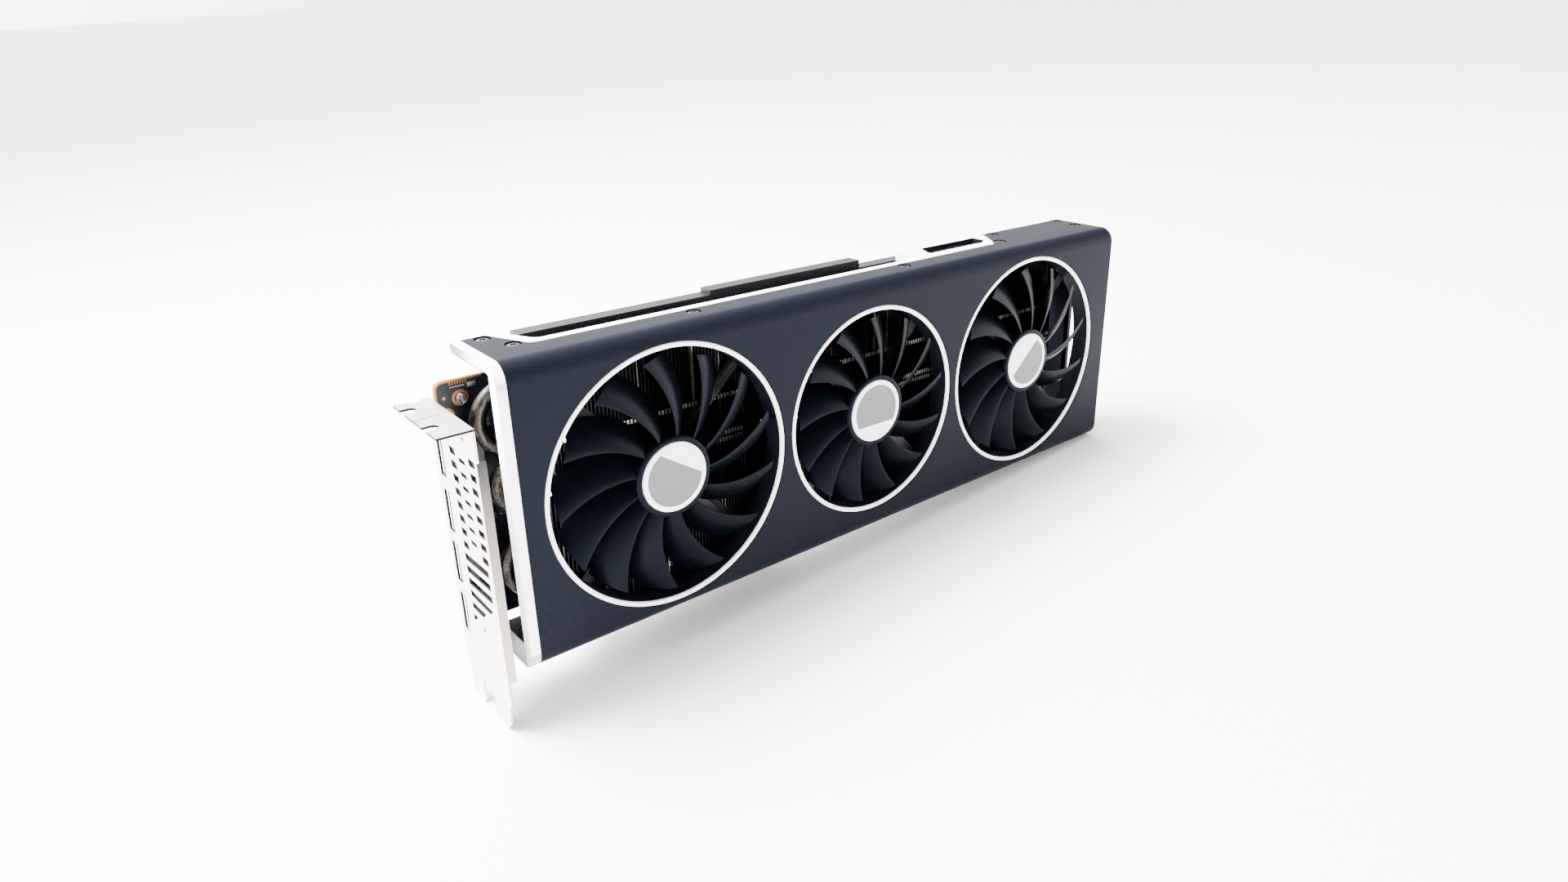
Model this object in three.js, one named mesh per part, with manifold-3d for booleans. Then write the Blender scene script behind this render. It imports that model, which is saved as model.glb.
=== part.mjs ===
// Dual-slot graphics card with three fans, as an assembly of separate pieces.
// Millimetres. The card stands on its long edge: +X runs from the bracket to the tail,
// +Y from the fan face to the backplate, +Z from the edge connector to the top.
// Drawing frame: x = 0 is the bracket's outer face, y = 0 the fan face, z = 0 the fan axes' height.
// The group is moved at the end, so that its origin is the middle of the card's foot.
import * as THREE from "three";
import * as BufferGeometryUtils from "three/addons/utils/BufferGeometryUtils.js";
import Module from "manifold-3d";

const wasm = await Module();
wasm.setup();

// ---------------------------------------------------------------- driving dimensions
const GAP = 0.3; // clearance between touching pieces
const CARD_LENGTH = 344; // bracket face to tail
const CARD_DEPTH = 43.4; // fan face to backplate
const HALF_HEIGHT = 58; // shroud, about the fan axes
const WALL = 2.2; // shroud wall
const SHROUD_START = 13.2; // seam with the white bezel
const EDGE_RADIUS = 7; // shroud's long front edges
const WAIST_DEPTH = 17; // top wall depth between its two shoulders
const SHOULDER_DEPTH = 36; // top wall depth at both ends

const FANS = [
  { side: "left", x: 73.2, ring: 51.5, tip: 47.3, sweep: 19.5, phase: 101.9 },
  { side: "middle", x: 176.7, ring: 46.1, tip: 42.4, sweep: 14.5, phase: -71.7 },
  { side: "right", x: 280.2, ring: 51.5, tip: 47.3, sweep: 19.5, phase: 100 },
];
const BLADES = 13;
const HUB_RADIUS = 16.3;
const CAP_RADIUS = 13.9;
const BLADE = { front: 0.6, rear: 8.8, thickness: 1, rootChord: 25, tipChord: 17 };
const RING = { width: 1.8, front: 0.2, rear: 1.2, seat: 1.5 };
const DUCT = { depth: 9.6, wall: 1.6 };

const BEZEL = { start: 9.2, lip: 3.2, frontLip: 4.7 };
const STRIP_WIDTH = 3.7; // white strip behind the shroud's top edge
const SOCKET_PLATE_START = 222;
const SOCKET_WINDOW = { x0: 235, x1: 273, y0: 23, y1: 33.4 };

const SOCKET = { length: 18.3, y0: 23.4, y1: 33, z0: 40, z1: 55.8, skin: 0.9, floor: 46.5 };

const PCB = { front: 37, back: 38.6, start: 1.8, end: 296, top: 44.4, bottom: -57.5, raised: -52.5 };
const STANDARD_HEIGHT = 111.2; // board's top edge to the end of the edge connector
const EDGE_CONNECTOR = {
  start: 46, end: 135, notch: 58.5, notchWidth: 1.9, bottom: PCB.top - STANDARD_HEIGHT,
};
const BACKPLATE = { front: 41.6, start: 34, end: 341.5, half: 54 };
const GPU = { x: 146, half: 21, screw: 27 }; // screw: retention screws, each way from the middle

const SHEET = 0.86; // bracket steel
const BRACKET = { front: 0.84, rear: 39.6, top: 39.06, bottom: -81, reach: 11.43, flange: 3.3 };
const VENT_PITCH = 5.18;
const WIDE_VENT_PITCH = 5.05;

const PORT = { y: 34, half: 2.35, skin: 0.35, start: 1.2, depth: 13 };
const PORTS = [
  { name: "hdmi_socket", z: 18.5, length: 14.2 },
  { name: "displayport_socket_1", z: -2.4, length: 16.2 },
  { name: "displayport_socket_2", z: -23.1, length: 16.2 },
  { name: "displayport_socket_3", z: -44.4, length: 16.2 },
];

// ---------------------------------------------------------------- materials
const material = (color, roughness, metalness) =>
  new THREE.MeshStandardMaterial({ color, roughness, metalness });
const BLACK = material(0x20252e, 0.5, 0);
const WHITE = material(0xf2f3f4, 0.35, 0);
const FAN_BLACK = material(0x1c222b, 0.55, 0);
const CAP_GREY = material(0xa4a8ad, 0.4, 0.2);
const STEEL = material(0xe6e0da, 0.3, 1);
const NICKEL = material(0xb8ad9e, 0.3, 1);
const FIN_METAL = material(0xa8a6a2, 0.35, 1);
const COPPER = material(0xc07a4c, 0.4, 1);
const BOARD = material(0x0d0f14, 0.4, 0);
const PLATE_GREY = material(0x50545a, 0.45, 0.6);
const CHIP = material(0x1a1b1d, 0.5, 0);
const PLASTIC = material(0x141518, 0.5, 0);
const SCREW_STEEL = material(0x3a3d42, 0.35, 1);
const MAGNET = material(0x4a4a4c, 0.6, 0.3);

// ---------------------------------------------------------------- helpers
const X = new THREE.Vector3(1, 0, 0);
const Y = new THREE.Vector3(0, 1, 0);
const Z = new THREE.Vector3(0, 0, 1);
const DRAWN_IN_XZ = new THREE.Matrix4().makeBasis(X, Z, Y.clone().negate());
const DRAWN_IN_YZ = new THREE.Matrix4().makeBasis(Y, Z, X);

const radians = THREE.MathUtils.degToRad;
const card = new THREE.Group();

function manifold(geometry) {
  const bare = geometry.clone();
  bare.deleteAttribute("normal");
  bare.deleteAttribute("uv");
  const merged = BufferGeometryUtils.mergeVertices(bare, 1e-4);
  const mesh = new wasm.Mesh({
    numProp: 3,
    vertProperties: new Float32Array(merged.attributes.position.array),
    triVerts: new Uint32Array(merged.index.array),
  });
  return new wasm.Manifold(mesh);
}

function piece(name, solid, look) {
  const { vertProperties, triVerts } = solid.getMesh();
  const geometry = new THREE.BufferGeometry();
  geometry.setAttribute("position", new THREE.BufferAttribute(new Float32Array(vertProperties), 3));
  geometry.setIndex(new THREE.BufferAttribute(new Uint32Array(triVerts), 1));
  const mesh = new THREE.Mesh(geometry, look);
  mesh.name = name;
  card.add(mesh);
}

function block([x0, y0, z0], [x1, y1, z1]) {
  const box = new THREE.BoxGeometry(x1 - x0, y1 - y0, z1 - z0);
  return manifold(box.translate((x0 + x1) / 2, (y0 + y1) / 2, (z0 + z1) / 2));
}

const joined = (solids) => solids.reduce((sum, solid) => sum.add(solid));
const cutBy = (solid, tools) => tools.reduce((rest, tool) => rest.subtract(tool), solid);

function outline(points) {
  return new THREE.Shape(points.map(([u, v]) => new THREE.Vector2(u, v)));
}

function rectangle(u0, u1, v0, v1) {
  return outline([[u0, v0], [u1, v0], [u1, v1], [u0, v1]]);
}

function extrude(shape, depth, curveSegments = 5) {
  return new THREE.ExtrudeGeometry(shape, { depth, bevelEnabled: false, curveSegments });
}

// A shape drawn in (x, z) and as thick as y0 to y1.
function slabXZ(shape, y0, y1) {
  return manifold(extrude(shape, y1 - y0).applyMatrix4(DRAWN_IN_XZ).translate(0, y1, 0));
}

// A shape drawn in (y, z) and as thick as x0 to x1.
function slabYZ(shape, x0, x1) {
  return manifold(extrude(shape, x1 - x0).applyMatrix4(DRAWN_IN_YZ).translate(x0, 0, 0));
}

// A shape drawn in (x, y) and as thick as z0 to z1.
function slabXY(shape, z0, z1) {
  return manifold(extrude(shape, z1 - z0).translate(0, 0, z0));
}

// A profile of [radius, y] points, turned round an axis along Y through (x, z).
function turned(profile, x, z, segments) {
  const points = profile.map(([r, y]) => new THREE.Vector2(r, y));
  return manifold(new THREE.LatheGeometry(points, segments).translate(x, 0, z));
}

function tube(inner, outer, y0, y1, x, z, segments) {
  const section = [[inner, y0], [outer, y0], [outer, y1], [inner, y1], [inner, y0]];
  return turned(section, x, z, segments);
}

function disc(radius, y0, y1, x, z, segments) {
  return turned([[0, y0], [radius, y0], [radius, y1], [0, y1]], x, z, segments);
}

// A round bar along Z, for holes and screws in the top wall.
function barZ(radius, z0, z1, x, y, segments) {
  const bar = new THREE.CylinderGeometry(radius, radius, z1 - z0, segments);
  return manifold(bar.rotateX(Math.PI / 2).translate(x, y, (z0 + z1) / 2));
}

// A solid through loops of equally many points, closed by flat ends.
function loft(loops) {
  const count = loops[0].length;
  const index = [];
  for (let k = 0; k + 1 < loops.length; k += 1) {
    for (let i = 0; i < count; i += 1) {
      const a = k * count + i;
      const b = k * count + ((i + 1) % count);
      index.push(a, b, b + count, a, b + count, a + count);
    }
  }
  const last = (loops.length - 1) * count;
  for (let i = 0; i + 1 < count / 2; i += 1) {
    const j = count - 1 - i;
    index.push(i, j, i + 1, i + 1, j, j - 1);
    index.push(last + i, last + i + 1, last + j, last + i + 1, last + j - 1, last + j);
  }
  const geometry = new THREE.BufferGeometry();
  geometry.setAttribute("position", new THREE.Float32BufferAttribute(loops.flat(2), 3));
  geometry.setIndex(index);
  return manifold(geometry);
}

// ---------------------------------------------------------------- shroud
// Section in (y, z): a C with two rounded front corners, open towards the back.
function coverSection(inset, depth) {
  const half = HALF_HEIGHT - inset;
  const radius = EDGE_RADIUS - inset;
  const shape = new THREE.Shape();
  shape.moveTo(depth, -half);
  shape.lineTo(depth, half);
  shape.lineTo(EDGE_RADIUS, half);
  shape.absarc(EDGE_RADIUS, half - radius, radius, Math.PI / 2, Math.PI, false);
  shape.absarc(EDGE_RADIUS, radius - half, radius, Math.PI, 1.5 * Math.PI, false);
  shape.closePath();
  return shape;
}

// The notch that shortens the top and bottom walls between the two shoulders.
const WAIST = [
  [20.9, 36.6], [22.5, 34.5], [27.8, 22.3], [28.9, 19.6], [30.6, 18.1], [32.9, WAIST_DEPTH],
  [268, WAIST_DEPTH], [271, 17.9], [272.8, 19.4], [283.7, 34.2], [286.5, 36.6],
];
const TAIL_VENT = { y0: 11.5, y1: 21.4, half: 40 };
const RING_SEGMENTS = 42;

// The notch, drawn in by margin on every side, between two heights.
function waist(margin, z0, z1) {
  const middle = WAIST.length / 2;
  const inner = WAIST.map(([x, y], i) => [x + (i < middle ? margin : -margin), y + margin]);
  const back = 60;
  const left = inner[0][0];
  const right = inner[inner.length - 1][0];
  return slabXY(outline([...inner, [right, back], [left, back]]), z0, z1);
}

// Screws in the top wall, (x, y). They hold the shroud to the white frame under it.
const TOP_SCREWS = [
  [19.6, 32.6], [25.2, 20.2], [93.7, 13.2], [205.5, 13.2],
  [277.4, 19.6], [287.2, 32.6], [338.6, 20], [338.6, 32.8],
];
const SCREW = { head: 2.7, sink: 3, sinkDepth: 1.1, shank: 1.2, hole: 1.5, end: 51, sides: 8 };

function screwHoles(z0, z1) {
  return TOP_SCREWS.map(([x, y]) => barZ(SCREW.hole, z0, z1, x, y, SCREW.sides));
}

function shroud() {
  const inside = slabYZ(coverSection(WALL, SHOULDER_DEPTH + 5), SHROUD_START - 5, CARD_LENGTH - WALL);
  const shell = slabYZ(coverSection(0, SHOULDER_DEPTH), SHROUD_START, CARD_LENGTH).subtract(inside);
  const bores = FANS.map(({ x, ring }) => [x, ring - RING.width / 2 - GAP]);
  const ducts = bores.map(([x, r]) => disc(r + DUCT.wall, 1, DUCT.depth, x, 0, RING_SEGMENTS));
  const holes = bores.map(([x, r]) => disc(r, -1, DUCT.depth + 1, x, 0, RING_SEGMENTS));
  const seats = FANS.map(({ x, ring }) =>
    disc(ring + RING.width / 2 + GAP, -1, RING.seat, x, 0, RING_SEGMENTS));
  const sinks = TOP_SCREWS.map(([x, y]) =>
    barZ(SCREW.sink, HALF_HEIGHT - SCREW.sinkDepth, HALF_HEIGHT + 1, x, y, SCREW.sides));
  const vent = block([CARD_LENGTH - WALL - 1, TAIL_VENT.y0, -TAIL_VENT.half],
    [CARD_LENGTH + 1, TAIL_VENT.y1, TAIL_VENT.half]);
  const notches = [
    waist(0, HALF_HEIGHT - WALL - 1, HALF_HEIGHT + 1),
    waist(0, -HALF_HEIGHT - 1, WALL + 1 - HALF_HEIGHT),
  ];
  const throughHoles = screwHoles(HALF_HEIGHT - WALL - 1, HALF_HEIGHT + 1);
  return cutBy(joined([shell, ...ducts]), [...holes, ...seats, ...sinks, ...throughHoles, vent, ...notches]);
}

function topScrew(x, y) {
  const seat = HALF_HEIGHT - SCREW.sinkDepth + 0.1;
  const head = barZ(SCREW.head, seat, seat + 0.8, x, y, SCREW.sides);
  return head.add(barZ(SCREW.shank, SCREW.end, seat + 0.2, x, y, SCREW.sides));
}

// ---------------------------------------------------------------- white middle frame
const LINER = { outer: HALF_HEIGHT - WALL - GAP, inner: HALF_HEIGHT - WALL - GAP - 1.5 };
const BEZEL_END = SHROUD_START - GAP;
const FRAME_END = CARD_LENGTH - WALL - GAP;

// One long side of the frame, made at the top: a liner under the shroud's wall with the
// exposed strip on it. The bottom one is its mirror image, and stops at the shoulder.
function frameSide() {
  const { inner, outer } = LINER;
  const duct = DUCT.depth + GAP;
  const liner = [
    block([30, duct, inner], [FRAME_END, WAIST_DEPTH + STRIP_WIDTH, outer]),
    block([284, duct, inner], [FRAME_END, SHOULDER_DEPTH, outer]),
  ];
  const strip = waist(GAP, inner, HALF_HEIGHT).subtract(waist(GAP + STRIP_WIDTH, inner - 1, 60));
  const reach = block([0, 0, inner], [CARD_LENGTH, SHOULDER_DEPTH, HALF_HEIGHT]);
  return joined([...liner, strip.intersect(reach)]);
}

function midFrame() {
  const bezel = slabYZ(coverSection(0, SHOULDER_DEPTH), BEZEL.start, BEZEL_END);
  const behindLip = block([0, BEZEL.frontLip, -HALF_HEIGHT], [SHROUD_START, CARD_DEPTH, HALF_HEIGHT]);
  const inside = slabYZ(coverSection(BEZEL.lip, CARD_DEPTH), BEZEL.start - 1, BEZEL_END + 1);
  const tongue = slabYZ(coverSection(WALL + GAP, SHOULDER_DEPTH), BEZEL_END - 1, SHROUD_START + 4);
  const tongueInside = slabYZ(coverSection(WALL + GAP + 1.5, CARD_DEPTH), BEZEL_END - 2, SHROUD_START + 5);
  const { inner, outer } = LINER;
  const tongueBottom = block([BEZEL_END, -1, -HALF_HEIGHT], [SHROUD_START + 6, CARD_DEPTH, 8 - HALF_HEIGHT]);
  const shoulder = block([BEZEL.start, DUCT.depth + GAP, inner], [32, SHOULDER_DEPTH, outer]);
  const tailWall = block([FRAME_END - 1.3, 23, -outer], [FRAME_END, SHOULDER_DEPTH, outer]);
  const plateReach = block([SOCKET_PLATE_START, WAIST_DEPTH, inner], [300, SHOULDER_DEPTH, HALF_HEIGHT]);
  const plate = waist(GAP, inner, HALF_HEIGHT).intersect(plateReach);
  const w = SOCKET_WINDOW;
  const slanted = outline([[w.x0 - 4, w.y0], [w.x1, w.y0], [w.x1, w.y1], [w.x0, w.y1]]);
  const window = slabXY(slanted, inner - 1, HALF_HEIGHT + 1);
  const under = block([w.x0, w.y0 - 1, inner - 1], [w.x1, w.y1, HALF_HEIGHT - 1.4]);
  const notch = waist(GAP + STRIP_WIDTH, inner - 1, SOCKET.z1);
  const side = joined([frameSide(), shoulder]).subtract(notch);
  const ring = bezel.subtract(inside.intersect(behindLip));
  const joint = cutBy(tongue, [tongueInside, tongueBottom]);
  const body = joined([ring, joint, side, plate, frameSide().mirror([0, 0, 1]), tailWall]);
  return cutBy(body, [window, under, ...screwHoles(inner - 1, outer + 1)]);
}

// ---------------------------------------------------------------- fans
// One blade as loops round its section at growing radius. The front edge leans forward by
// the sweep from root to tip, and the surface falls back clockwise as it goes deeper.
function blade(fan, angle) {
  const stations = 4;
  const across = 1;
  const root = HUB_RADIUS - 0.7;
  const loops = [];
  for (let i = 0; i < stations; i += 1) {
    const t = i / (stations - 1);
    const r = THREE.MathUtils.lerp(root, fan.tip, t);
    const lead = radians(angle - fan.sweep * (1 - t ** 1.15));
    const chord = radians(THREE.MathUtils.lerp(BLADE.rootChord, BLADE.tipChord, t));
    const depth = BLADE.rear - BLADE.front;
    const length = Math.hypot(chord * r, depth);
    const around = (BLADE.thickness / 2) * (depth / length);
    const along = (BLADE.thickness / 2) * ((chord * r) / length);
    const side = (sign) => Array.from({ length: across + 1 }, (_, j) => {
      const u = j / across;
      const a = lead - chord * u + (sign * around) / r;
      return [fan.x + r * Math.cos(a), BLADE.front + depth * u + sign * along, r * Math.sin(a)];
    });
    loops.push([...side(-1), ...side(1).reverse()]);
  }
  return loft(loops);
}

function rotor(fan) {
  const section = [
    [1.5, 1.1], [CAP_RADIUS + GAP, 1.1], [CAP_RADIUS + GAP, 0.3], [HUB_RADIUS, 0.3], [HUB_RADIUS, 9],
    [15.1, 9], [15.1, 2.3], [1.5, 2.3], [1.5, 1.1],
  ];
  const hub = turned(section, fan.x, 0, 22);
  const pitch = 360 / BLADES;
  const blades = Array.from({ length: BLADES }, (_, k) => blade(fan, fan.phase + k * pitch));
  return joined([hub, ...blades]);
}

// The fixed base: a bearing tube on a plate, and four arms that reach the duct's rear edge.
function fanBase(fan) {
  const front = DUCT.depth + GAP;
  const rear = front + 1.2;
  const reach = fan.ring - RING.width / 2 - GAP + DUCT.wall;
  const plate = disc(15, front, rear, fan.x, 0, 24);
  const bearing = tube(1.5, 3.1, 5, front + 0.5, fan.x, 0, 12);
  const arms = [45, 135, 225, 315].map((angle) => {
    const arm = new THREE.BoxGeometry(reach - 12, rear - front, 5);
    arm.translate((reach + 12) / 2, 0, 0).rotateY(radians(angle));
    return manifold(arm.translate(fan.x, (front + rear) / 2, 0));
  });
  return joined([plate, bearing, ...arms]);
}

function addFan(fan) {
  const { side, x, ring } = fan;
  const half = RING.width / 2;
  const trim = tube(ring - half, ring + half, RING.front, RING.rear, x, 0, RING_SEGMENTS);
  piece(`ring_trim_${side}`, trim, WHITE);
  piece(`fan_rotor_${side}`, rotor(fan), FAN_BLACK);
  piece(`fan_cap_${side}`, disc(CAP_RADIUS, 0, 0.8, x, 0, 32), CAP_GREY);
  piece(`fan_magnet_${side}`, tube(13.6, 14.8, 3, 8.6, x, 0, 16), MAGNET);
  piece(`fan_shaft_${side}`, disc(1.2, 1.6, 9.4, x, 0, 10), STEEL);
  piece(`fan_motor_${side}`, tube(3.4, 12.9, 5, 9.3, x, 0, 16), COPPER);
  piece(`fan_base_${side}`, fanBase(fan), PLASTIC);
}

// ---------------------------------------------------------------- cooler
const FIN = {
  front: 12, root: 23.4, base: 24.6, bottom: -49.3, top: 51, crest: 56.5, pitch: 4.2, thickness: 0.9,
};
const FIN_STACKS = [
  { side: "left", x0: 25, x1: 118 },
  { side: "middle", x0: 122, x1: 228 },
  { side: "right", x0: 232, x1: 316 },
];

// A comb in (x, y): thin fins standing forward from one base plate. It reaches up to its
// crest inside the top notch, and is cut back round the power sockets.
function finStack({ x0, x1 }) {
  const count = Math.floor((x1 - x0 - FIN.thickness) / FIN.pitch) + 1;
  const points = [[x0, FIN.base]];
  for (let i = 0; i < count; i += 1) {
    const left = x0 + i * FIN.pitch;
    const right = left + FIN.thickness;
    points.push([left, FIN.root], [left, FIN.front], [right, FIN.front], [right, FIN.root]);
  }
  const end = x0 + (count - 1) * FIN.pitch + FIN.thickness;
  points.push([end, FIN.base]);
  points.splice(1, 1);
  points.splice(points.length - 2, 1);
  const comb = outline(points.reverse());
  const socketSpace = block([SOCKET_WINDOW.x0 - 0.5, SOCKET.y0 - GAP, SOCKET.z0 - GAP],
    [SOCKET_WINDOW.x1 + 0.5, FIN.base + 1, FIN.top + 1]);
  const beforePlate = block([x0, 0, FIN.top - 1], [SOCKET_PLATE_START - GAP, CARD_DEPTH, FIN.crest]);
  const crest = slabXY(comb, FIN.top - 1, FIN.crest)
    .intersect(waist(STRIP_WIDTH + 2 * GAP, FIN.top - 1, FIN.crest))
    .intersect(beforePlate);
  return joined([slabXY(comb, FIN.bottom, FIN.top), crest]).subtract(socketSpace);
}

const PIPE = { radius: 3, y: 27.7, sides: 8, bendSteps: 10 };
const HEAT_PIPES = [
  { name: "heat_pipe_upper", bendX: 23.6, long: 41, short: 18, longEnd: 228, shortEnd: 182 },
  { name: "heat_pipe_middle", bendX: 23.5, long: 11.5, short: -4.5, longEnd: 312, shortEnd: 182 },
  { name: "heat_pipe_lower", bendX: 27.5, long: -41.5, short: -17.5, longEnd: 312, shortEnd: 182 },
];

// A U-shaped pipe lying flat: two legs along X, joined by a half turn at the bracket end.
function heatPipe({ bendX, long, short, longEnd, shortEnd }) {
  const middle = (long + short) / 2;
  const bend = (long - short) / 2;
  const stations = [[longEnd, long, Math.PI / 2]];
  for (let i = 0; i <= PIPE.bendSteps; i += 1) {
    const angle = Math.PI / 2 + (Math.PI * i) / PIPE.bendSteps;
    const x = bendX + Math.abs(bend) * Math.cos(angle);
    stations.push([x, middle + bend * Math.sin(angle), angle]);
  }
  stations.push([shortEnd, short, 1.5 * Math.PI]);
  const loops = stations.map(([x, z, angle]) => Array.from({ length: PIPE.sides }, (_, i) => {
    const turn = (2 * Math.PI * (i + 0.5)) / PIPE.sides;
    const out = PIPE.radius * Math.cos(turn);
    const lean = Math.sign(bend) * Math.sin(angle);
    return [x + out * Math.cos(angle), PIPE.y + PIPE.radius * Math.sin(turn), z + out * lean];
  }));
  return loft(bend > 0 ? loops : loops.map((loop) => loop.reverse()));
}

const COLD_PLATE = { half: 31, front: 30.8, rear: 33.6 };
const gpuCorners = [[-1, -1], [-1, 1], [1, -1], [1, 1]].map(([i, k]) => [
  GPU.x + i * GPU.screw, k * GPU.screw]);

function gpuHoles(y0, y1) {
  return gpuCorners.map(([x, z]) => disc(SCREW.hole, y0, y1, x, z, SCREW.sides));
}

function coldPlate() {
  const { half, front, rear } = COLD_PLATE;
  const plate = block([GPU.x - half, front, -half], [GPU.x + half, rear, half]);
  return cutBy(plate, gpuHoles(front - 1, rear + 1));
}

// ---------------------------------------------------------------- board
const BOARD_SCREWS = [
  { name: "board_screw_upper", x: 10.6, z: 37.3 },
  { name: "board_screw_lower", x: 4.9, z: 31.6 },
];

function board() {
  const { start, end, top, bottom, raised } = PCB;
  const edge = EDGE_CONNECTOR;
  const chamfer = 2.4;
  const shape = outline([
    [start, raised], [38, raised], [40.5, bottom], [edge.start, bottom], [edge.start, edge.bottom],
    [edge.notch, edge.bottom], [edge.notch, bottom], [edge.notch + edge.notchWidth, bottom],
    [edge.notch + edge.notchWidth, edge.bottom], [edge.end, edge.bottom], [edge.end, bottom],
    [end, bottom], [end, top], [start + chamfer, top], [start + 0.7, top - 0.7], [start, top - chamfer],
  ]);
  const slab = slabXZ(shape, PCB.front, PCB.back);
  const [y0, y1] = [PCB.front - 1, PCB.back + 1];
  const screwHoles = BOARD_SCREWS.map(({ x, z }) => disc(SCREW.hole, y0, y1, x, z, SCREW.sides));
  return cutBy(slab, [...screwHoles, ...gpuHoles(y0, y1)]);
}

function boardScrew({ x, z }) {
  const seat = PCB.front - 0.1;
  return turned([[0, seat - 1.7], [2.5, seat - 1.7], [2.7, seat], [SCREW.shank, seat],
    [SCREW.shank, PCB.back + 0.8], [0, PCB.back + 0.8]], x, z, 12);
}

function retentionSpring() {
  const [y0, y1] = [40, 41];
  const arm = (angle) => {
    const bar = new THREE.BoxGeometry(2 * GPU.screw * Math.SQRT2 + 9, y1 - y0, 9);
    return manifold(bar.rotateY(radians(angle)).translate(GPU.x, (y0 + y1) / 2, 0));
  };
  const ring = disc(13, y0, y1, GPU.x, 0, 24).subtract(disc(7, y0 - 1, y1 + 1, GPU.x, 0, 16));
  const cross = joined([arm(45), arm(-45)]).subtract(disc(7, y0 - 1, y1 + 1, GPU.x, 0, 16));
  return cutBy(joined([cross, ring]), gpuHoles(y0 - 1, y1 + 1));
}

function springScrew(x, z) {
  return turned([[0, 31.4], [SCREW.shank, 31.4], [SCREW.shank, 41.1], [2.6, 41.1], [2.6, 42.8],
    [0, 42.8]], x, z, SCREW.sides);
}

// A power header: a box open at the top, standing on a foot that meets the board.
function powerSocket(x0) {
  const { length, y0, y1, z0, z1, skin, floor } = SOCKET;
  const x1 = x0 + length;
  const body = block([x0, y0, z0], [x1, y1, z1]);
  const foot = block([x0 + 1, y1 - 1, z0 - 3], [x1 - 1, PCB.front - GAP, z0 + 4]);
  const mouth = block([x0 + skin, y0 + skin, floor], [x1 - skin, y1 - skin, z1 + 1]);
  return joined([body, foot]).subtract(mouth);
}

// ---------------------------------------------------------------- bracket and ports
function portShell({ z, length }) {
  const { y, half, skin, start, depth } = PORT;
  const outer = block([start, y - half - skin, z - length / 2 - skin],
    [start + depth, y + half + skin, z + length / 2 + skin]);
  return outer.subtract(block([start - 1, y - half, z - length / 2],
    [start + depth - 1.5, y + half, z + length / 2]));
}

// Openings of the bracket's face, in (y, z).
function bracketOpenings() {
  const openings = PORTS.map(({ z, length }) => rectangle(PORT.y - 2.5, PORT.y + 2.5,
    z - length / 2 - 0.15, z + length / 2 + 0.15));
  const skewed = (y, z, width, height, skew) => outline([[y, z], [y + width, z],
    [y + width + skew, z + height], [y + skew, z + height]]);
  for (let row = 0; row < 8; row += 1) {
    openings.push(skewed(19.2, 23.6 - row * VENT_PITCH, 4.9, 2.7, 0.6));
    openings.push(skewed(2.5, 24.2 - row * VENT_PITCH, 5.1, 2.6, 0.6));
  }
  for (let row = 0; row < 7; row += 1) {
    openings.push(skewed(10.8, 22.7 - row * VENT_PITCH, 5.5, 1.6, 1));
  }
  for (let row = 0; row < 3; row += 1) {
    const z = -18.1 - row * WIDE_VENT_PITCH;
    openings.push(outline([[4.1, z + 0.9], [24.6, z], [25.2, z + 2.9], [4.4, z + 3.6]]));
  }
  openings.push(outline([[7.9, -33], [24.6, -33], [25.2, -30.2], [5.2, -30.8]]));
  openings.push(outline([[15.8, -38.1], [24.7, -38.1], [25.4, -35.7], [12.1, -35.1]]));
  openings.push(outline([[20.7, -40.8], [25.2, -43.6], [25.6, -40.8]]));
  return openings;
}

function bracketFace() {
  const { front, rear, top, bottom } = BRACKET;
  const shape = new THREE.Shape();
  shape.moveTo(front, top);
  shape.lineTo(front, -67.6);
  shape.lineTo(3.2, -71.6);
  shape.lineTo(4.3, -78.4);
  shape.lineTo(7, bottom);
  shape.lineTo(16.6, bottom);
  shape.lineTo(16.6, -74.2);
  shape.absarc(21.6, -74.2, 5, Math.PI, 0, true);
  shape.lineTo(26.8, -80);
  shape.lineTo(28, bottom);
  shape.lineTo(36.4, bottom);
  shape.lineTo(37.4, -79.6);
  shape.lineTo(37.4, -70.5);
  shape.lineTo(rear, -63);
  shape.lineTo(rear, top);
  shape.closePath();
  shape.holes.push(...bracketOpenings());
  return slabYZ(shape, 0, SHEET);
}

// The folded top: two screw tabs with a slit between them, each with a slot open to the outside.
function bracketTabs() {
  const { front, rear, top, reach } = BRACKET;
  const tabs = slabXY(rectangle(-reach, SHEET, front, rear), top - SHEET, top);
  const [z0, z1] = [top - SHEET - 1, top + 1];
  const slot = (y) => joined([
    slabXY(rectangle(-reach - 1, -reach + 2.6, y - 2.2, y + 2.2), z0, z1),
    barZ(2.2, z0, z1, -reach + 2.6, y, 12),
  ]);
  const slit = slabXY(rectangle(-reach - 1, -2.4, 20.4, 21.2), z0, z1);
  const sideNotch = barZ(1.9, z0, z1, -4.4, rear, 12);
  return cutBy(tabs, [slot(11.1), slot(31.4), slit, sideNotch]);
}

function bracket() {
  const { front, flange } = BRACKET;
  const fold = block([0, front, -58.8], [flange, front + SHEET, 27]);
  return joined([bracketFace(), bracketTabs(), fold]);
}

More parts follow.
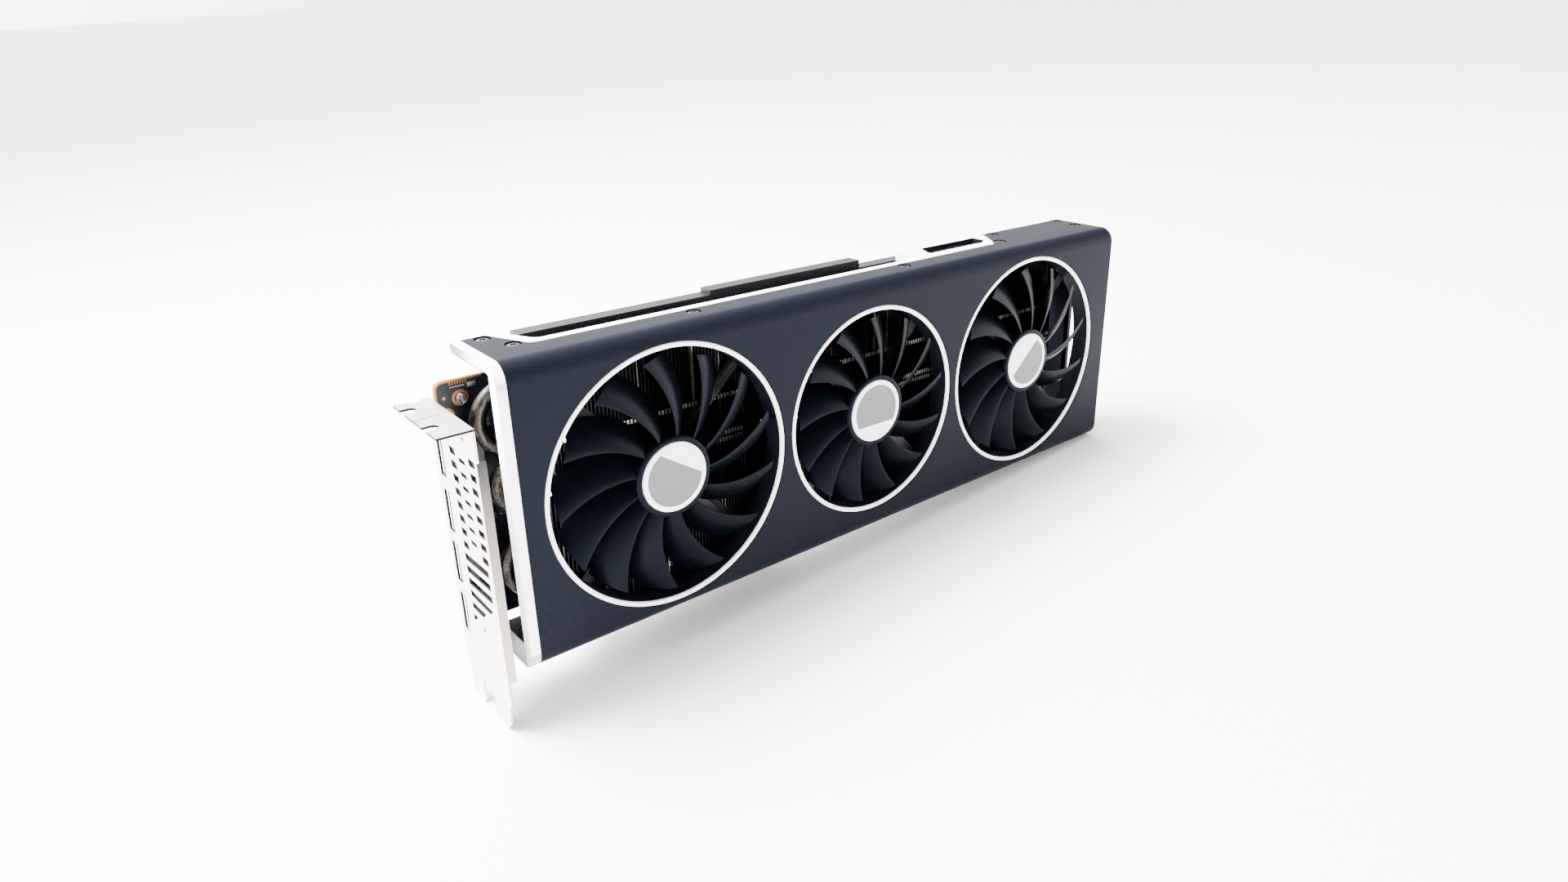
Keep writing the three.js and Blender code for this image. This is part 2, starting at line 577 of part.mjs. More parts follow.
// ---------------------------------------------------------------- backplate
function backplate() {
  const { front, start, end, half } = BACKPLATE;
  const reach = GPU.screw + 5.5;
  const opening = (x0, x1, z0, z1) => block([x0, front - 1, z0], [x1, CARD_DEPTH + 1, z1]);
  const openings = [opening(GPU.x - reach, GPU.x + reach, -reach, reach)];
  for (let column = 0; column < 6; column += 1) {
    const x = 299 + column * 6.6;
    openings.push(opening(x, x + 4.2, 3, 35), opening(x, x + 4.2, -35, -3));
  }
  const plate = cutBy(block([start, front, -half], [end, CARD_DEPTH, half]), openings);
  const rimFront = SHOULDER_DEPTH + GAP;
  const rims = [
    block([start, rimFront, half - 1.6], [end, CARD_DEPTH, half]),
    block([start, PCB.back + GAP, -half], [end, CARD_DEPTH, 1.6 - half]),
    block([end - 1.6, rimFront, -half], [end, CARD_DEPTH, half]),
    block([start, rimFront, PCB.top + 1], [start + 1.6, CARD_DEPTH, half + 1.7]),
    block([start, rimFront, half - 1.6], [199, CARD_DEPTH, half + 1.7]),
    block([117, rimFront, half - 1.6], [199, CARD_DEPTH, half + 3.6]),
  ];
  const posts = [[42, 38], [42, -48], [210, 38], [210, -48], [286, 38], [286, -48]].map(([x, z]) =>
    disc(2.6, PCB.back + GAP, front + 0.5, x, z, 10));
  return joined([plate, ...rims, ...posts]);
}

// ---------------------------------------------------------------- assembly
piece("shroud", shroud(), BLACK);
piece("mid_frame", midFrame(), WHITE);
FANS.forEach(addFan);
FIN_STACKS.forEach((stack) => piece(`fin_stack_${stack.side}`, finStack(stack), FIN_METAL));
HEAT_PIPES.forEach((pipe) => piece(pipe.name, heatPipe(pipe), NICKEL));
piece("cold_plate", coldPlate(), NICKEL);
piece("circuit_board", board(), BOARD);
piece("gpu_package", block([GPU.x - GPU.half, 33.9, -GPU.half], [GPU.x + GPU.half, 36.7, GPU.half]), CHIP);
[[103, 4], [103, -18], [189, 4], [189, -18]].forEach(([x, z], i) => {
  piece(`memory_chip_${i + 1}`, block([x - 6, 35.2, z], [x + 6, 36.7, z + 14]), CHIP);
});
piece("bracket", bracket(), STEEL);
PORTS.forEach((port) => piece(port.name, portShell(port), STEEL));
piece("power_socket_1", powerSocket(235.5), PLASTIC);
piece("power_socket_2", powerSocket(254.2), PLASTIC);
piece("backplate", backplate(), PLATE_GREY);
piece("retention_spring", retentionSpring(), STEEL);
gpuCorners.forEach(([x, z], i) => piece(`spring_screw_${i + 1}`, springScrew(x, z), SCREW_STEEL));
BOARD_SCREWS.forEach((screw) => piece(screw.name, boardScrew(screw), STEEL));
TOP_SCREWS.forEach(([x, y], i) => piece(`shroud_screw_${i + 1}`, topScrew(x, y), SCREW_STEEL));

card.position.set((BRACKET.reach - CARD_LENGTH) / 2, -CARD_DEPTH / 2, -BRACKET.bottom);

export default card;
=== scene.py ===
"""The looks of a three-fan graphics card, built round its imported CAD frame.

Shapes are drawn in the card's own millimetres: x from the bracket's outer face to the tail,
y from the fan face to the backplate, z from the fan axes up. ORIGIN carries them to the frame.
"""

import math

import bmesh
import bpy
from mathutils import Matrix, Vector


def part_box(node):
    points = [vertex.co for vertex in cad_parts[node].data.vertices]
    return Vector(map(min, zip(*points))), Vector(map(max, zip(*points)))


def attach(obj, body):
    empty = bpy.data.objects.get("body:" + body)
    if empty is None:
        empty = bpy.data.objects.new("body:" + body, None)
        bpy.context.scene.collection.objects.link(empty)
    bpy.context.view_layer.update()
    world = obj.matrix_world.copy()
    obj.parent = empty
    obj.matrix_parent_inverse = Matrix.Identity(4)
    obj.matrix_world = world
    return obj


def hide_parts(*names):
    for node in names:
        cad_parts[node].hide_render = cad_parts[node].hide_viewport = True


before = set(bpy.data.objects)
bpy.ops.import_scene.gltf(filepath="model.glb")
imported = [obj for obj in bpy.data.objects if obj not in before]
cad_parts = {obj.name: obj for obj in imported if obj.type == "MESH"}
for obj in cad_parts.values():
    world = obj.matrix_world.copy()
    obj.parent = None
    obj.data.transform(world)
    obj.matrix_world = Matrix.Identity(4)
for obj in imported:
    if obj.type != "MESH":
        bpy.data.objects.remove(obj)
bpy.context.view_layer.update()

# ------------------------------------------------------------------ driving dimensions (mm)
TAB_REACH = 11.43
TAB_TOP = 39.06
BRACKET_FRONT = 0.84
BRACKET_BACK = 39.6
BRACKET_FOOT = 81.0
BRACKET_CORNER = Vector((-TAB_REACH, BRACKET_FRONT, -BRACKET_FOOT))
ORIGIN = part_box("bracket")[0] * 1000 - BRACKET_CORNER

LENGTH = 344.0
DEPTH = 43.4
HALF = 58.0
WALL = 2.2
SEAM = 13.2
CORNER = 7.0
WAIST_DEPTH = 17.0
WAIST_SHOULDER = 38.0
# x where the notch's mouth, shoulder and floor start, and where its floor, shoulder and mouth end
WAIST_STARTS = (14.0, 21.0, 30.1)
WAIST_ENDS = (271.0, 286.5, 293.0)
SHOULDER = 36.0
GAP = 0.3
STRIP_WIDTH = 3.7

BEZEL_START = 9.2
BEZEL_END = 12.9
BEZEL_LIP = 3.2
BEZEL_FRONT_LIP = 4.7
LINER_INNER = 54.0
LINER_OUTER = 55.5
LINER_END = 341.5

# the window in the white plate, round the power sockets
WINDOW_START = 231.5
WINDOW_END = 273.0
WINDOW_FRONT = 23.0
WINDOW_BACK = 33.4

BLADES = 13
HUB_RADIUS = 16.3
CAP_RADIUS = 13.9
CAP_INLAY = 11.8
RING_WIDTH = 1.8
DUCT_DEPTH = 9.6
DUCT_WALL = 1.6

# side, axis x, ring radius, blade tip radius, sweep, blade phase, cap chord direction and offset
FANS = (
    ("left", 73.2, 51.5, 47.3, 19.5, 101.9, 56.6, 5.5),
    ("middle", 176.7, 46.1, 42.4, 14.5, -71.7, -90.9, 6.3),
    ("right", 280.2, 51.5, 47.3, 19.5, 100.0, 131.8, 3.0),
)

PCB_FRONT = 37.0
PCB_BACK = 38.6
PCB_LEFT = 1.8
PCB_RIGHT = 296.0
PCB_TOP = 44.4
PCB_BOTTOM = -57.5
PCB_RAISED = -52.5
CONTACT_END = PCB_TOP - 111.2

# x and y of each screw in the shroud's top
TOP_SCREWS = (
    (19.6, 32.6), (25.2, 20.2), (93.7, 13.2), (205.5, 13.2),
    (277.4, 19.6), (287.2, 32.6), (338.6, 20.0), (338.6, 32.8),
)
# x and z of each screw through the spring
SPRING_SCREWS = ((119.0, -27.0), (119.0, 27.0), (173.0, -27.0), (173.0, 27.0))
GPU_X = 146.0

# name, middle z and length of each display socket
PORTS = (
    ("hdmi_socket", 18.5, 14.2),
    ("displayport_socket_1", -2.4, 16.2),
    ("displayport_socket_2", -23.1, 16.2),
    ("displayport_socket_3", -44.4, 16.2),
)
PORT_Y = 34.0
# name, x and z of each silver screw at the board's bare corner
BOARD_SCREWS = (("board_screw_upper", 10.6, 37.3), ("board_screw_lower", 4.9, 31.6))

# head radius, head height, shank radius and length of each kind of screw
SHROUD_SCREW = (2.6, 0.75, 1.2, 6.6)
SPRING_SCREW = (2.5, 1.6, 1.2, 11.3)
BOARD_SCREW = (2.15, 1.65, 1.2, 4.1)

HEAD_STAND = 1.75
SPRING_FRONT = 40.0
SPRING_BACK = 41.0

# number and first x of each power socket
POWER_SOCKETS = ((1, 235.5), (2, 254.2))


# ------------------------------------------------------------------ materials
def material(name, color, roughness, metallic=0.0, **sockets):
    made = bpy.data.materials.new(name)
    made.use_nodes = True
    shader = made.node_tree.nodes["Principled BSDF"]
    shader.inputs["Base Color"].default_value = (*color, 1.0)
    shader.inputs["Roughness"].default_value = roughness
    shader.inputs["Metallic"].default_value = metallic
    for key, value in sockets.items():
        shader.inputs[key.replace("_", " ")].default_value = value
    return made


def node(made, kind, **values):
    made_node = made.node_tree.nodes.new(kind)
    for key, value in values.items():
        if key in made_node.inputs:
            made_node.inputs[key].default_value = value
        else:
            setattr(made_node, key, value)
    return made_node


def link(made, out_socket, in_socket):
    made.node_tree.links.new(out_socket, in_socket)


def grain(made, scale, strength, distance, tint=0.0, rough=0.0, stretch=(1, 1, 1)):
    """Noise that roughens the surface, and varies its colour and gloss a little."""
    shader = made.node_tree.nodes["Principled BSDF"]
    place = node(made, "ShaderNodeTexCoord")
    mapping = node(made, "ShaderNodeMapping")
    mapping.inputs["Scale"].default_value = stretch
    noise = node(made, "ShaderNodeTexNoise", Scale=scale, Detail=3.0)
    link(made, place.outputs["Object"], mapping.inputs["Vector"])
    link(made, mapping.outputs["Vector"], noise.inputs["Vector"])
    bump = node(made, "ShaderNodeBump", Strength=strength, Distance=distance)
    link(made, noise.outputs["Fac"], bump.inputs["Height"])
    link(made, bump.outputs["Normal"], shader.inputs["Normal"])
    if tint:
        base = shader.inputs["Base Color"].default_value[:3]
        ramp = node(made, "ShaderNodeValToRGB")
        ramp.color_ramp.elements[0].position = 0.3
        ramp.color_ramp.elements[1].position = 0.7
        ramp.color_ramp.elements[0].color = (*(c * (1 - tint) for c in base), 1)
        ramp.color_ramp.elements[1].color = (*(min(1, c * (1 + tint)) for c in base), 1)
        link(made, noise.outputs["Fac"], ramp.inputs["Fac"])
        link(made, ramp.outputs["Color"], shader.inputs["Base Color"])
    if rough:
        middle = shader.inputs["Roughness"].default_value
        spread = node(made, "ShaderNodeMapRange")
        spread.inputs["To Min"].default_value = max(0.02, middle - rough)
        spread.inputs["To Max"].default_value = min(1, middle + rough)
        link(made, noise.outputs["Fac"], spread.inputs["Value"])
        link(made, spread.outputs["Result"], shader.inputs["Roughness"])
    return made


def shade_and_glints(made, low, high, stretch, start, end):
    """Painted shade with painted glints on a metal: near-black, with bright lines drawn out along one way of
    the sheet.
    """
    shader = made.node_tree.nodes["Principled BSDF"]
    place = node(made, "ShaderNodeTexCoord")
    mapping = node(made, "ShaderNodeMapping")
    mapping.inputs["Scale"].default_value = stretch
    noise = node(made, "ShaderNodeTexNoise", Scale=1.0, Detail=2.0)
    ramp = node(made, "ShaderNodeValToRGB")
    ramp.color_ramp.elements[0].position = start
    ramp.color_ramp.elements[1].position = end
    ramp.color_ramp.elements[0].color = (*low, 1)
    ramp.color_ramp.elements[1].color = (*high, 1)
    link(made, place.outputs["Object"], mapping.inputs["Vector"])
    link(made, mapping.outputs["Vector"], noise.inputs["Vector"])
    link(made, noise.outputs["Fac"], ramp.inputs["Fac"])
    link(made, ramp.outputs["Color"], shader.inputs["Base Color"])
    return made


def rising(made, low_z, high_z, low, high):
    """A colour that runs from one at a low height to another at a high one, in metres."""
    shader = made.node_tree.nodes["Principled BSDF"]
    place = node(made, "ShaderNodeTexCoord")
    parts = node(made, "ShaderNodeSeparateXYZ")
    height = node(made, "ShaderNodeMapRange")
    height.inputs["From Min"].default_value = low_z
    height.inputs["From Max"].default_value = high_z
    ramp = node(made, "ShaderNodeValToRGB")
    ramp.color_ramp.elements[0].color = (*low, 1)
    ramp.color_ramp.elements[1].color = (*high, 1)
    link(made, place.outputs["Object"], parts.inputs["Vector"])
    link(made, parts.outputs["Z"], height.inputs["Value"])
    link(made, height.outputs["Result"], ramp.inputs["Fac"])
    link(made, ramp.outputs["Color"], shader.inputs["Base Color"])
    return made


def plastic(name, color, roughness, specular, sheen=(1, 1, 1)):
    """A plain plastic; its mirror light can lean to blue, as on the black mouldings."""
    return material(name, color, roughness, Specular_IOR_Level=specular, Specular_Tint=(*sheen, 1))


COLD = (0.64, 0.73, 0.94)
ALONG_Z = (1, 1, 0.12)

SHROUD = grain(plastic("shroud_black", (0.0042, 0.0050, 0.0078), 0.44, 0.034, COLD),
               2600, 0.35, 0.00012, 0.25, 0.06)
WHITE = grain(plastic("frame_white", (0.86, 0.865, 0.87), 0.38, 0.5), 900, 0.1, 0.00005, 0.02, 0.04)
BLADE = grain(plastic("fan_black", (0.0008, 0.0013, 0.0024), 0.36, 0.048, COLD),
              1400, 0.12, 0.00006, 0.15, 0.05)
CAP_WHITE = grain(plastic("cap_white", (0.86, 0.865, 0.87), 0.4, 0.5), 1500, 0.08, 0.00004, 0.02, 0.04)
CAP_GREY = grain(material("cap_grey", (0.074, 0.078, 0.086), 0.42, 0.3), 2800, 0.3, 0.00006, 0.12, 0.05)
NICKEL = grain(material("bracket_nickel", (0.60, 0.53, 0.47), 0.3, 0.85),
               260, 0.06, 0.00006, 0.04, 0.08, ALONG_Z)
# Near-black for the walls of the bracket's openings and tab slots: painted shade in the openings.
OPENING_SHADE = grain(plastic("bracket_opening_shade", (0.007, 0.0068, 0.0066), 0.6, 0.12),
                  600, 0.1, 0.00005, 0.2, 0.08)
# The fold's front runs from a light tone at its foot to near-black at its top: painted light and shade.
FOLD_SHADE_RAMP = rising(grain(material("bracket_fold_shade_ramp", (0.1, 0.1, 0.1), 0.42, 0.5),
                          260, 0.06, 0.00006, rough=0.08),
                    0.022, 0.108, (0.42, 0.37, 0.33), (0.008, 0.0065, 0.006))
PORT = grain(material("port_steel", (0.075, 0.07, 0.067), 0.34, 0.9), 500, 0.08, 0.00005, 0.1, 0.08)
# The pipe metal is made dark as painted shade for the inside of the card behind the bracket.
PIPE = grain(material("pipe_nickel", (0.046, 0.041, 0.036), 0.32, 1.0), 900, 0.5, 0.00025, 0.5, 0.1)
# The fin sheets are painted near-black as painted shade inside the cooler, with bright streaks as painted
# glints.
FIN = shade_and_glints(grain(material("fin_aluminium", (0.3, 0.3, 0.3), 0.36, 0.9), 700, 0.1, 0.00005, rough=0.08),
              (0.004, 0.0045, 0.005), (0.24, 0.23, 0.215), (420, 25, 9), start=0.62, end=0.71)
FIN_TAB = grain(material("fin_lock_tab", (0.6, 0.575, 0.54), 0.32, 0.9), 700, 0.1, 0.00005, 0.15, 0.08)
BOARD = grain(plastic("board_black", (0.004, 0.005, 0.010), 0.32, 0.25), 1200, 0.08, 0.00004, 0.3, 0.06)
COPPER = grain(material("copper_edge", (0.34, 0.13, 0.045), 0.36, 0.8), 800, 0.12, 0.00006, 0.15, 0.08)
GOLD = grain(material("contact_gold", (0.78, 0.55, 0.22), 0.25, 1.0), 800, 0.05, 0.00003, 0.08, 0.05)
CHIP = grain(plastic("chip_black", (0.018, 0.018, 0.02), 0.5, 0.4), 1800, 0.15, 0.00005, 0.2, 0.06)
SOCKET = grain(plastic("socket_black", (0.004, 0.004, 0.005), 0.45, 0.2), 1600, 0.15, 0.00006, 0.2, 0.06)
PLATE = grain(plastic("plate_dark", (0.0055, 0.006, 0.007), 0.42, 0.16), 1800, 0.18, 0.00006, 0.12, 0.06)
SCREW_DARK = grain(material("screw_dark", (0.007, 0.0072, 0.008), 0.36, 0.25), 900, 0.1, 0.00005, 0.15, 0.06)
SCREW_BRIGHT = grain(material("screw_bright", (0.42, 0.41, 0.39), 0.25, 1.0), 900, 0.1, 0.00005, 0.1, 0.06)
MAGNET = grain(material("magnet_dark", (0.05, 0.05, 0.052), 0.6), 900, 0.2, 0.0001, 0.2, 0.06)
WINDING = grain(material("winding_copper", (0.45, 0.18, 0.07), 0.35, 0.9), 300, 0.5, 0.0002, 0.25, 0.1,
                (1, 8, 1))
INK = grain(material("print_white", (0.55, 0.56, 0.58), 0.5), 1500, 0.05, 0.00003, 0.1, 0.05)


# ------------------------------------------------------------------ mesh helpers
PUT = {
    "x": lambda u, v, w: (w, u, v),
    "y": lambda u, v, w: (u, w, v),
    "z": lambda u, v, w: (u, v, w),
}


def raw(verts, faces, weld=False):
    """A mesh as a temporary object, faces turned outwards."""
    shape = bmesh.new()
    points = [shape.verts.new(v) for v in verts]
    for face in faces:
        shape.faces.new([points[i] for i in face])
    if weld:
        bmesh.ops.remove_doubles(shape, verts=shape.verts, dist=1e-5)
    bmesh.ops.recalc_face_normals(shape, faces=shape.faces)
    mesh = bpy.data.meshes.new("raw")
    shape.to_mesh(mesh)
    shape.free()
    made = bpy.data.objects.new("raw", mesh)
    bpy.context.scene.collection.objects.link(made)
    return made


def prism(points, along, lo, hi):
    """A flat outline, extruded. Outlines are (y, z) along x, (x, z) along y and (x, y) along z."""
    count = len(points)
    verts = [PUT[along](u, v, w) for w in (lo, hi) for u, v in points]
    sides = [(i, (i + 1) % count, count + (i + 1) % count, count + i) for i in range(count)]
    return raw(verts, [tuple(range(count)), tuple(range(count, 2 * count)), *sides])


def box(lo, hi):
    return prism([(lo[0], lo[1]), (hi[0], lo[1]), (hi[0], hi[1]), (lo[0], hi[1])], "z", lo[2], hi[2])


def arc(cu, cv, radius, start, end, steps):
    """Points on an arc, angles in degrees."""
    angles = [math.radians(start + (end - start) * i / steps) for i in range(steps + 1)]
    return [(cu + radius * math.cos(a), cv + radius * math.sin(a)) for a in angles]


def rounded(corners, steps=5):
    """An outline from (u, v, radius) corners, each rounded to its own radius."""
    points = []
    for i, (u, v, radius) in enumerate(corners):
        here = Vector((u, v))
        back = (Vector(corners[i - 1][:2]) - here).normalized()
        on = (Vector(corners[(i + 1) % len(corners)][:2]) - here).normalized()
        if radius <= 0:
            points.append((u, v))
            continue
        half = back.angle(on) / 2
        reach = radius / math.tan(half)
        middle = here + (back + on).normalized() * (radius / math.sin(half))
        first = here + back * reach - middle
        last = here + on * reach - middle
        turn = first.angle_signed(last)
        for k in range(steps + 1):
            spun = Matrix.Rotation(-turn * k / steps, 2) @ first
            points.append(tuple(middle + spun))
    return points


def lathe(profile, x, z, steps):
    """A closed profile of (radius, y) points turned round an axis along Y."""
    count = len(profile)
    verts = []
    for k in range(steps):
        a = 2 * math.pi * k / steps
        verts += [(x + r * math.cos(a), y, z + r * math.sin(a)) for r, y in profile]
    faces = []
    for k in range(steps):
        near, far = k * count, ((k + 1) % steps) * count
        for i in range(count):
            j = (i + 1) % count
            if profile[i][0] == 0 and profile[j][0] == 0:
                continue
            loop = [near + i, near + j, far + j, far + i]
            if profile[i][0] == 0:
                loop.remove(far + i)
            if profile[j][0] == 0:
                loop.remove(far + j)
            faces.append(tuple(loop))
    return raw(verts, faces, weld=True)


def drum(radius, y0, y1, x, z, steps):
    return lathe([(0, y0), (radius, y0), (radius, y1), (0, y1)], x, z, steps)


def post(radius, z0, z1, x, y, steps=32):
    return prism(arc(x, y, radius, 0, 360 - 360 / steps, steps - 1), "z", z0, z1)


def sweep(path, radius, sides):
    """A round bar along a path of points."""
    points = [Vector(p) for p in path]
    verts = []
    up = Vector((0, 1, 0))
    for i, point in enumerate(points):
        ahead = (points[min(i + 1, len(points) - 1)] - points[max(i - 1, 0)]).normalized()
        side = ahead.cross(up).normalized()
        for k in range(sides):
            a = 2 * math.pi * k / sides
            verts.append(point + side * (radius * math.cos(a)) + up * (radius * math.sin(a)))
    faces = [tuple(range(sides)), tuple(range(len(verts) - sides, len(verts)))]
    for i in range(len(points) - 1):
        for k in range(sides):
            j = (k + 1) % sides
            faces.append((i * sides + k, i * sides + j, (i + 1) * sides + j, (i + 1) * sides + k))
    return raw(verts, faces)


def drop(obj):
    mesh = obj.data
    bpy.data.objects.remove(obj)
    bpy.data.meshes.remove(mesh)


def merge(objs):
    """Several temporary meshes as one, without uniting them."""
    shape = bmesh.new()
    for obj in objs:
        shape.from_mesh(obj.data)
        drop(obj)
    mesh = bpy.data.meshes.new("raw")
    shape.to_mesh(mesh)
    shape.free()
    made = bpy.data.objects.new("raw", mesh)
    bpy.context.scene.collection.objects.link(made)
    return made


def boolean(base, operation, tools):
    for tool in tools:
        step = base.modifiers.new("cut", "BOOLEAN")
        step.operation = operation
        step.solver = "EXACT"
        step.object = tool
    graph = bpy.context.evaluated_depsgraph_get()
    mesh = bpy.data.meshes.new_from_object(base.evaluated_get(graph))
    base.modifiers.clear()
    old = base.data
    base.data = mesh
    bpy.data.meshes.remove(old)
    for tool in tools:
        drop(tool)
    return base


def cut(base, *tools):
    return boolean(base, "DIFFERENCE", tools)


def join(base, *tools):
    return boolean(base, "UNION", tools)


def piece(name, obj, look, stands_for=(), bevel=0.0, angle=35, body="card"):
    """Names a shape, carries it to the frame in metres, and gives it its look and its body."""
    obj.name = name
    obj.data.name = name
    obj.data.transform(Matrix.Scale(0.001, 4) @ Matrix.Translation(ORIGIN))
    for one in look if isinstance(look, tuple) else (look,):
        obj.data.materials.append(one)
    obj.data.shade_smooth()
    if bevel:
        edge = obj.modifiers.new("edges", "BEVEL")
        edge.width = bevel * 0.001
        edge.segments = 2
        edge.limit_method = "ANGLE"
        edge.angle_limit = math.radians(angle)
        edge.harden_normals = True
        edge.use_clamp_overlap = True
    else:
        obj.data.set_sharp_from_angle(angle=math.radians(angle))
    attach(obj, body)
    if stands_for:
        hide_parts(*([stands_for] if isinstance(stands_for, str) else stands_for))
    return obj


# ------------------------------------------------------------------ shroud and white frame
def cover(inset, depth, steps=14):
    """The C section in (y, z), closed straight across at the back."""
    half = HALF - inset
    radius = CORNER - inset
    return [
        (depth, -half), (depth, half),
        *arc(CORNER, half - radius, radius, 90, 180, steps),
        *arc(CORNER, radius - half, radius, 180, 270, steps),
    ]


def waist(margin, z0, z1):
    """The notch in the top and bottom walls, drawn in by a margin."""
    mouth_start, shoulder_start, floor_start = (x + margin for x in WAIST_STARTS)
    floor_end, shoulder_end, mouth_end = (x - margin for x in WAIST_ENDS)
    floor = WAIST_DEPTH + margin
    beyond = 60.0
    corners = [
        (mouth_start, beyond, 0), (mouth_start, WAIST_SHOULDER, 0), (shoulder_start, WAIST_SHOULDER, 1.5),
        (floor_start, floor, 4.0), (floor_end, floor, 4.0),
        (shoulder_end, WAIST_SHOULDER, 1.5), (mouth_end, WAIST_SHOULDER, 0), (mouth_end, beyond, 0),
    ]
    return prism(rounded(corners, 8), "z", z0, z1)


def build_shroud():
    shell = cut(prism(cover(0, SHOULDER), "x", SEAM, LENGTH),
                prism(cover(WALL, 60), "x", 0, LENGTH - WALL))
    bores = [(x, ring - RING_WIDTH / 2 - GAP, ring) for _, x, ring, *_ in FANS]
    join(shell, *[drum(r + DUCT_WALL, 1, DUCT_DEPTH, x, 0, 160) for x, r, _ in bores])
    cut(shell, *[drum(r, -1, DUCT_DEPTH + 1, x, 0, 160) for x, r, _ in bores])
    cut(shell, *[drum(ring + RING_WIDTH / 2 + GAP, -1, 1.5, x, 0, 160) for x, _, ring in bores])
    cut(shell, *[post(3.0, HALF - 1.1, HALF + 1, x, y) for x, y in TOP_SCREWS])
    cut(shell, *[post(1.5, HALF - 4, HALF + 1, x, y, 16) for x, y in TOP_SCREWS])
    vent = rounded([(11.5, -40, 3), (21.4, -40, 3), (21.4, 40, 3), (11.5, 40, 3)], 6)
    cut(shell, prism(vent, "x", LENGTH - 4, LENGTH + 1))
    cut(shell, waist(0, HALF - 3.2, HALF + 1), waist(0, -HALF - 1, 3.2 - HALF))
    piece("shroud_shell", shell, SHROUD, "shroud", bevel=0.35)


def strip(side):
    """The exposed white strip round the notch, on the top (1) or the bottom (-1)."""
    low, high = (LINER_INNER, HALF) if side > 0 else (-HALF, -LINER_INNER)
    band = waist(GAP, low, high)
    cut(band, waist(GAP + STRIP_WIDTH, low - 1, high + 1), box((0, SHOULDER, -99), (400, 99, 99)))
    return band


def build_frame():
    """The white frame: bezel, its tongue, liner walls and strips, and the plate round the sockets."""
    opening = cut(prism(cover(BEZEL_LIP, 60), "x", 0, 20), box((-1, -9, -99), (21, BEZEL_FRONT_LIP, 99)))
    bezel = cut(prism(cover(0, SHOULDER), "x", BEZEL_START, BEZEL_END), opening)
    tongue = cut(prism(cover(2.5, SHOULDER), "x", 11.9, 17.2), prism(cover(4.0, 60), "x", 0, 20),
                 box((BEZEL_END, -1, -60), (20, 60, -50)))
    parts = [tongue, box((9.6, 10, LINER_INNER), (32, SHOULDER, LINER_OUTER)),
             box((340.2, 23, -LINER_OUTER), (LINER_END, SHOULDER, LINER_OUTER))]
    for side in (1, -1):
        low, high = sorted((side * LINER_INNER, side * LINER_OUTER))
        parts += [
            box((30, 10, low), (LINER_END, WAIST_DEPTH + STRIP_WIDTH, high)),
            box((284, 10, low), (LINER_END, SHOULDER, high)),
            strip(side),
        ]
    body = cut(join(bezel, *parts), waist(GAP + STRIP_WIDTH, 53, 60))
    plate = cut(waist(GAP + STRIP_WIDTH - 0.6, LINER_INNER, HALF - 0.02), box((0, 0, 0), (222, 99, 99)),
                box((0, SHOULDER, 0), (400, 99, 99)))
    window = rounded([(WINDOW_START, WINDOW_FRONT, 0.8), (WINDOW_END, WINDOW_FRONT, 1.2),
                      (WINDOW_END, WINDOW_BACK, 0.8), (WINDOW_START + 4.5, WINDOW_BACK, 0.8)], 4)
    holes = [post(1.5, 53, 57, x, y, 16) for x, y in TOP_SCREWS]
    for part in (body, plate):
        cut(part, prism(window, "z", 53, 59), box((235, 22, 53), (WINDOW_END, WINDOW_BACK, 56.6)))
    cut(body, *holes)
    piece("socket_plate", plate, (WHITE, SHROUD), angle=30)
    piece("white_frame", body, (WHITE, SHROUD), "mid_frame", bevel=0.45, angle=40)
    for face in body.data.polygons:
        middle = face.center * 1000 - ORIGIN
        inner_floor = middle.z < -50 and face.normal.z > 0.3 and middle.x > 13
        if inner_floor or middle.x > 339:
            face.material_index = 1
    # The walls of the window round the power sockets take the black shroud plastic: painted shade in the
    # recess.
    for face in plate.data.polygons:
        middle = face.center * 1000 - ORIGIN
        along = WINDOW_START - 0.5 < middle.x < WINDOW_END + 0.5
        across = WINDOW_FRONT - 1.5 < middle.y < WINDOW_BACK + 0.2
        if along and across and face.normal.z < 0.5:
            face.material_index = 1


# ------------------------------------------------------------------ fans
def blade(fan, angle):
    """One blade as a thin wing: a round nose, a flat front part, and a rear that turns steep."""
    _, x, _, tip, sweep_angle, *_ = fan
    spans, chords = 14, 12
    front, depth = 0.55, 8.3
    root = HUB_RADIUS - 0.6
    verts, faces = [], []
    for i in range(spans + 1):
        t = i / spans
        r = root + (tip - root) * t
        lead = math.radians(angle - sweep_angle * (1 - t ** 1.15))
        chord = math.radians(25 - 8 * t)
        loop = []
        for side in (1, -1):
            for k in range(chords + 1):
                j = k if side > 0 else chords - k
                u = j / chords
                nose = math.sqrt(min(1, 6 * u))
                thick = 0.1 + 0.62 * nose * (1 - 0.75 * u) * (1 - 0.3 * t)
                bend = -1.5 * math.sin(math.pi * u)
                a = lead - chord * u
                slope = math.atan2(depth, chord * r)
                around = side * thick * math.sin(slope)
                along = side * thick * math.cos(slope)
                turned = a + around / r
                y = front + depth * u + bend - along + 0.3
                loop.append((x + r * math.cos(turned), y, r * math.sin(turned)))
        verts += loop
    count = 2 * (chords + 1)
    for i in range(spans):
        for k in range(count):
            j = (k + 1) % count
            faces.append((i * count + k, i * count + j, (i + 1) * count + j, (i + 1) * count + k))
    for k in range(chords):
        a, b = k, count - 1 - k
        last = spans * count
        faces.append((a, a + 1, b - 1, b))
        faces.append((last + a, last + a + 1, last + b - 1, last + b))
    return raw(verts, faces)


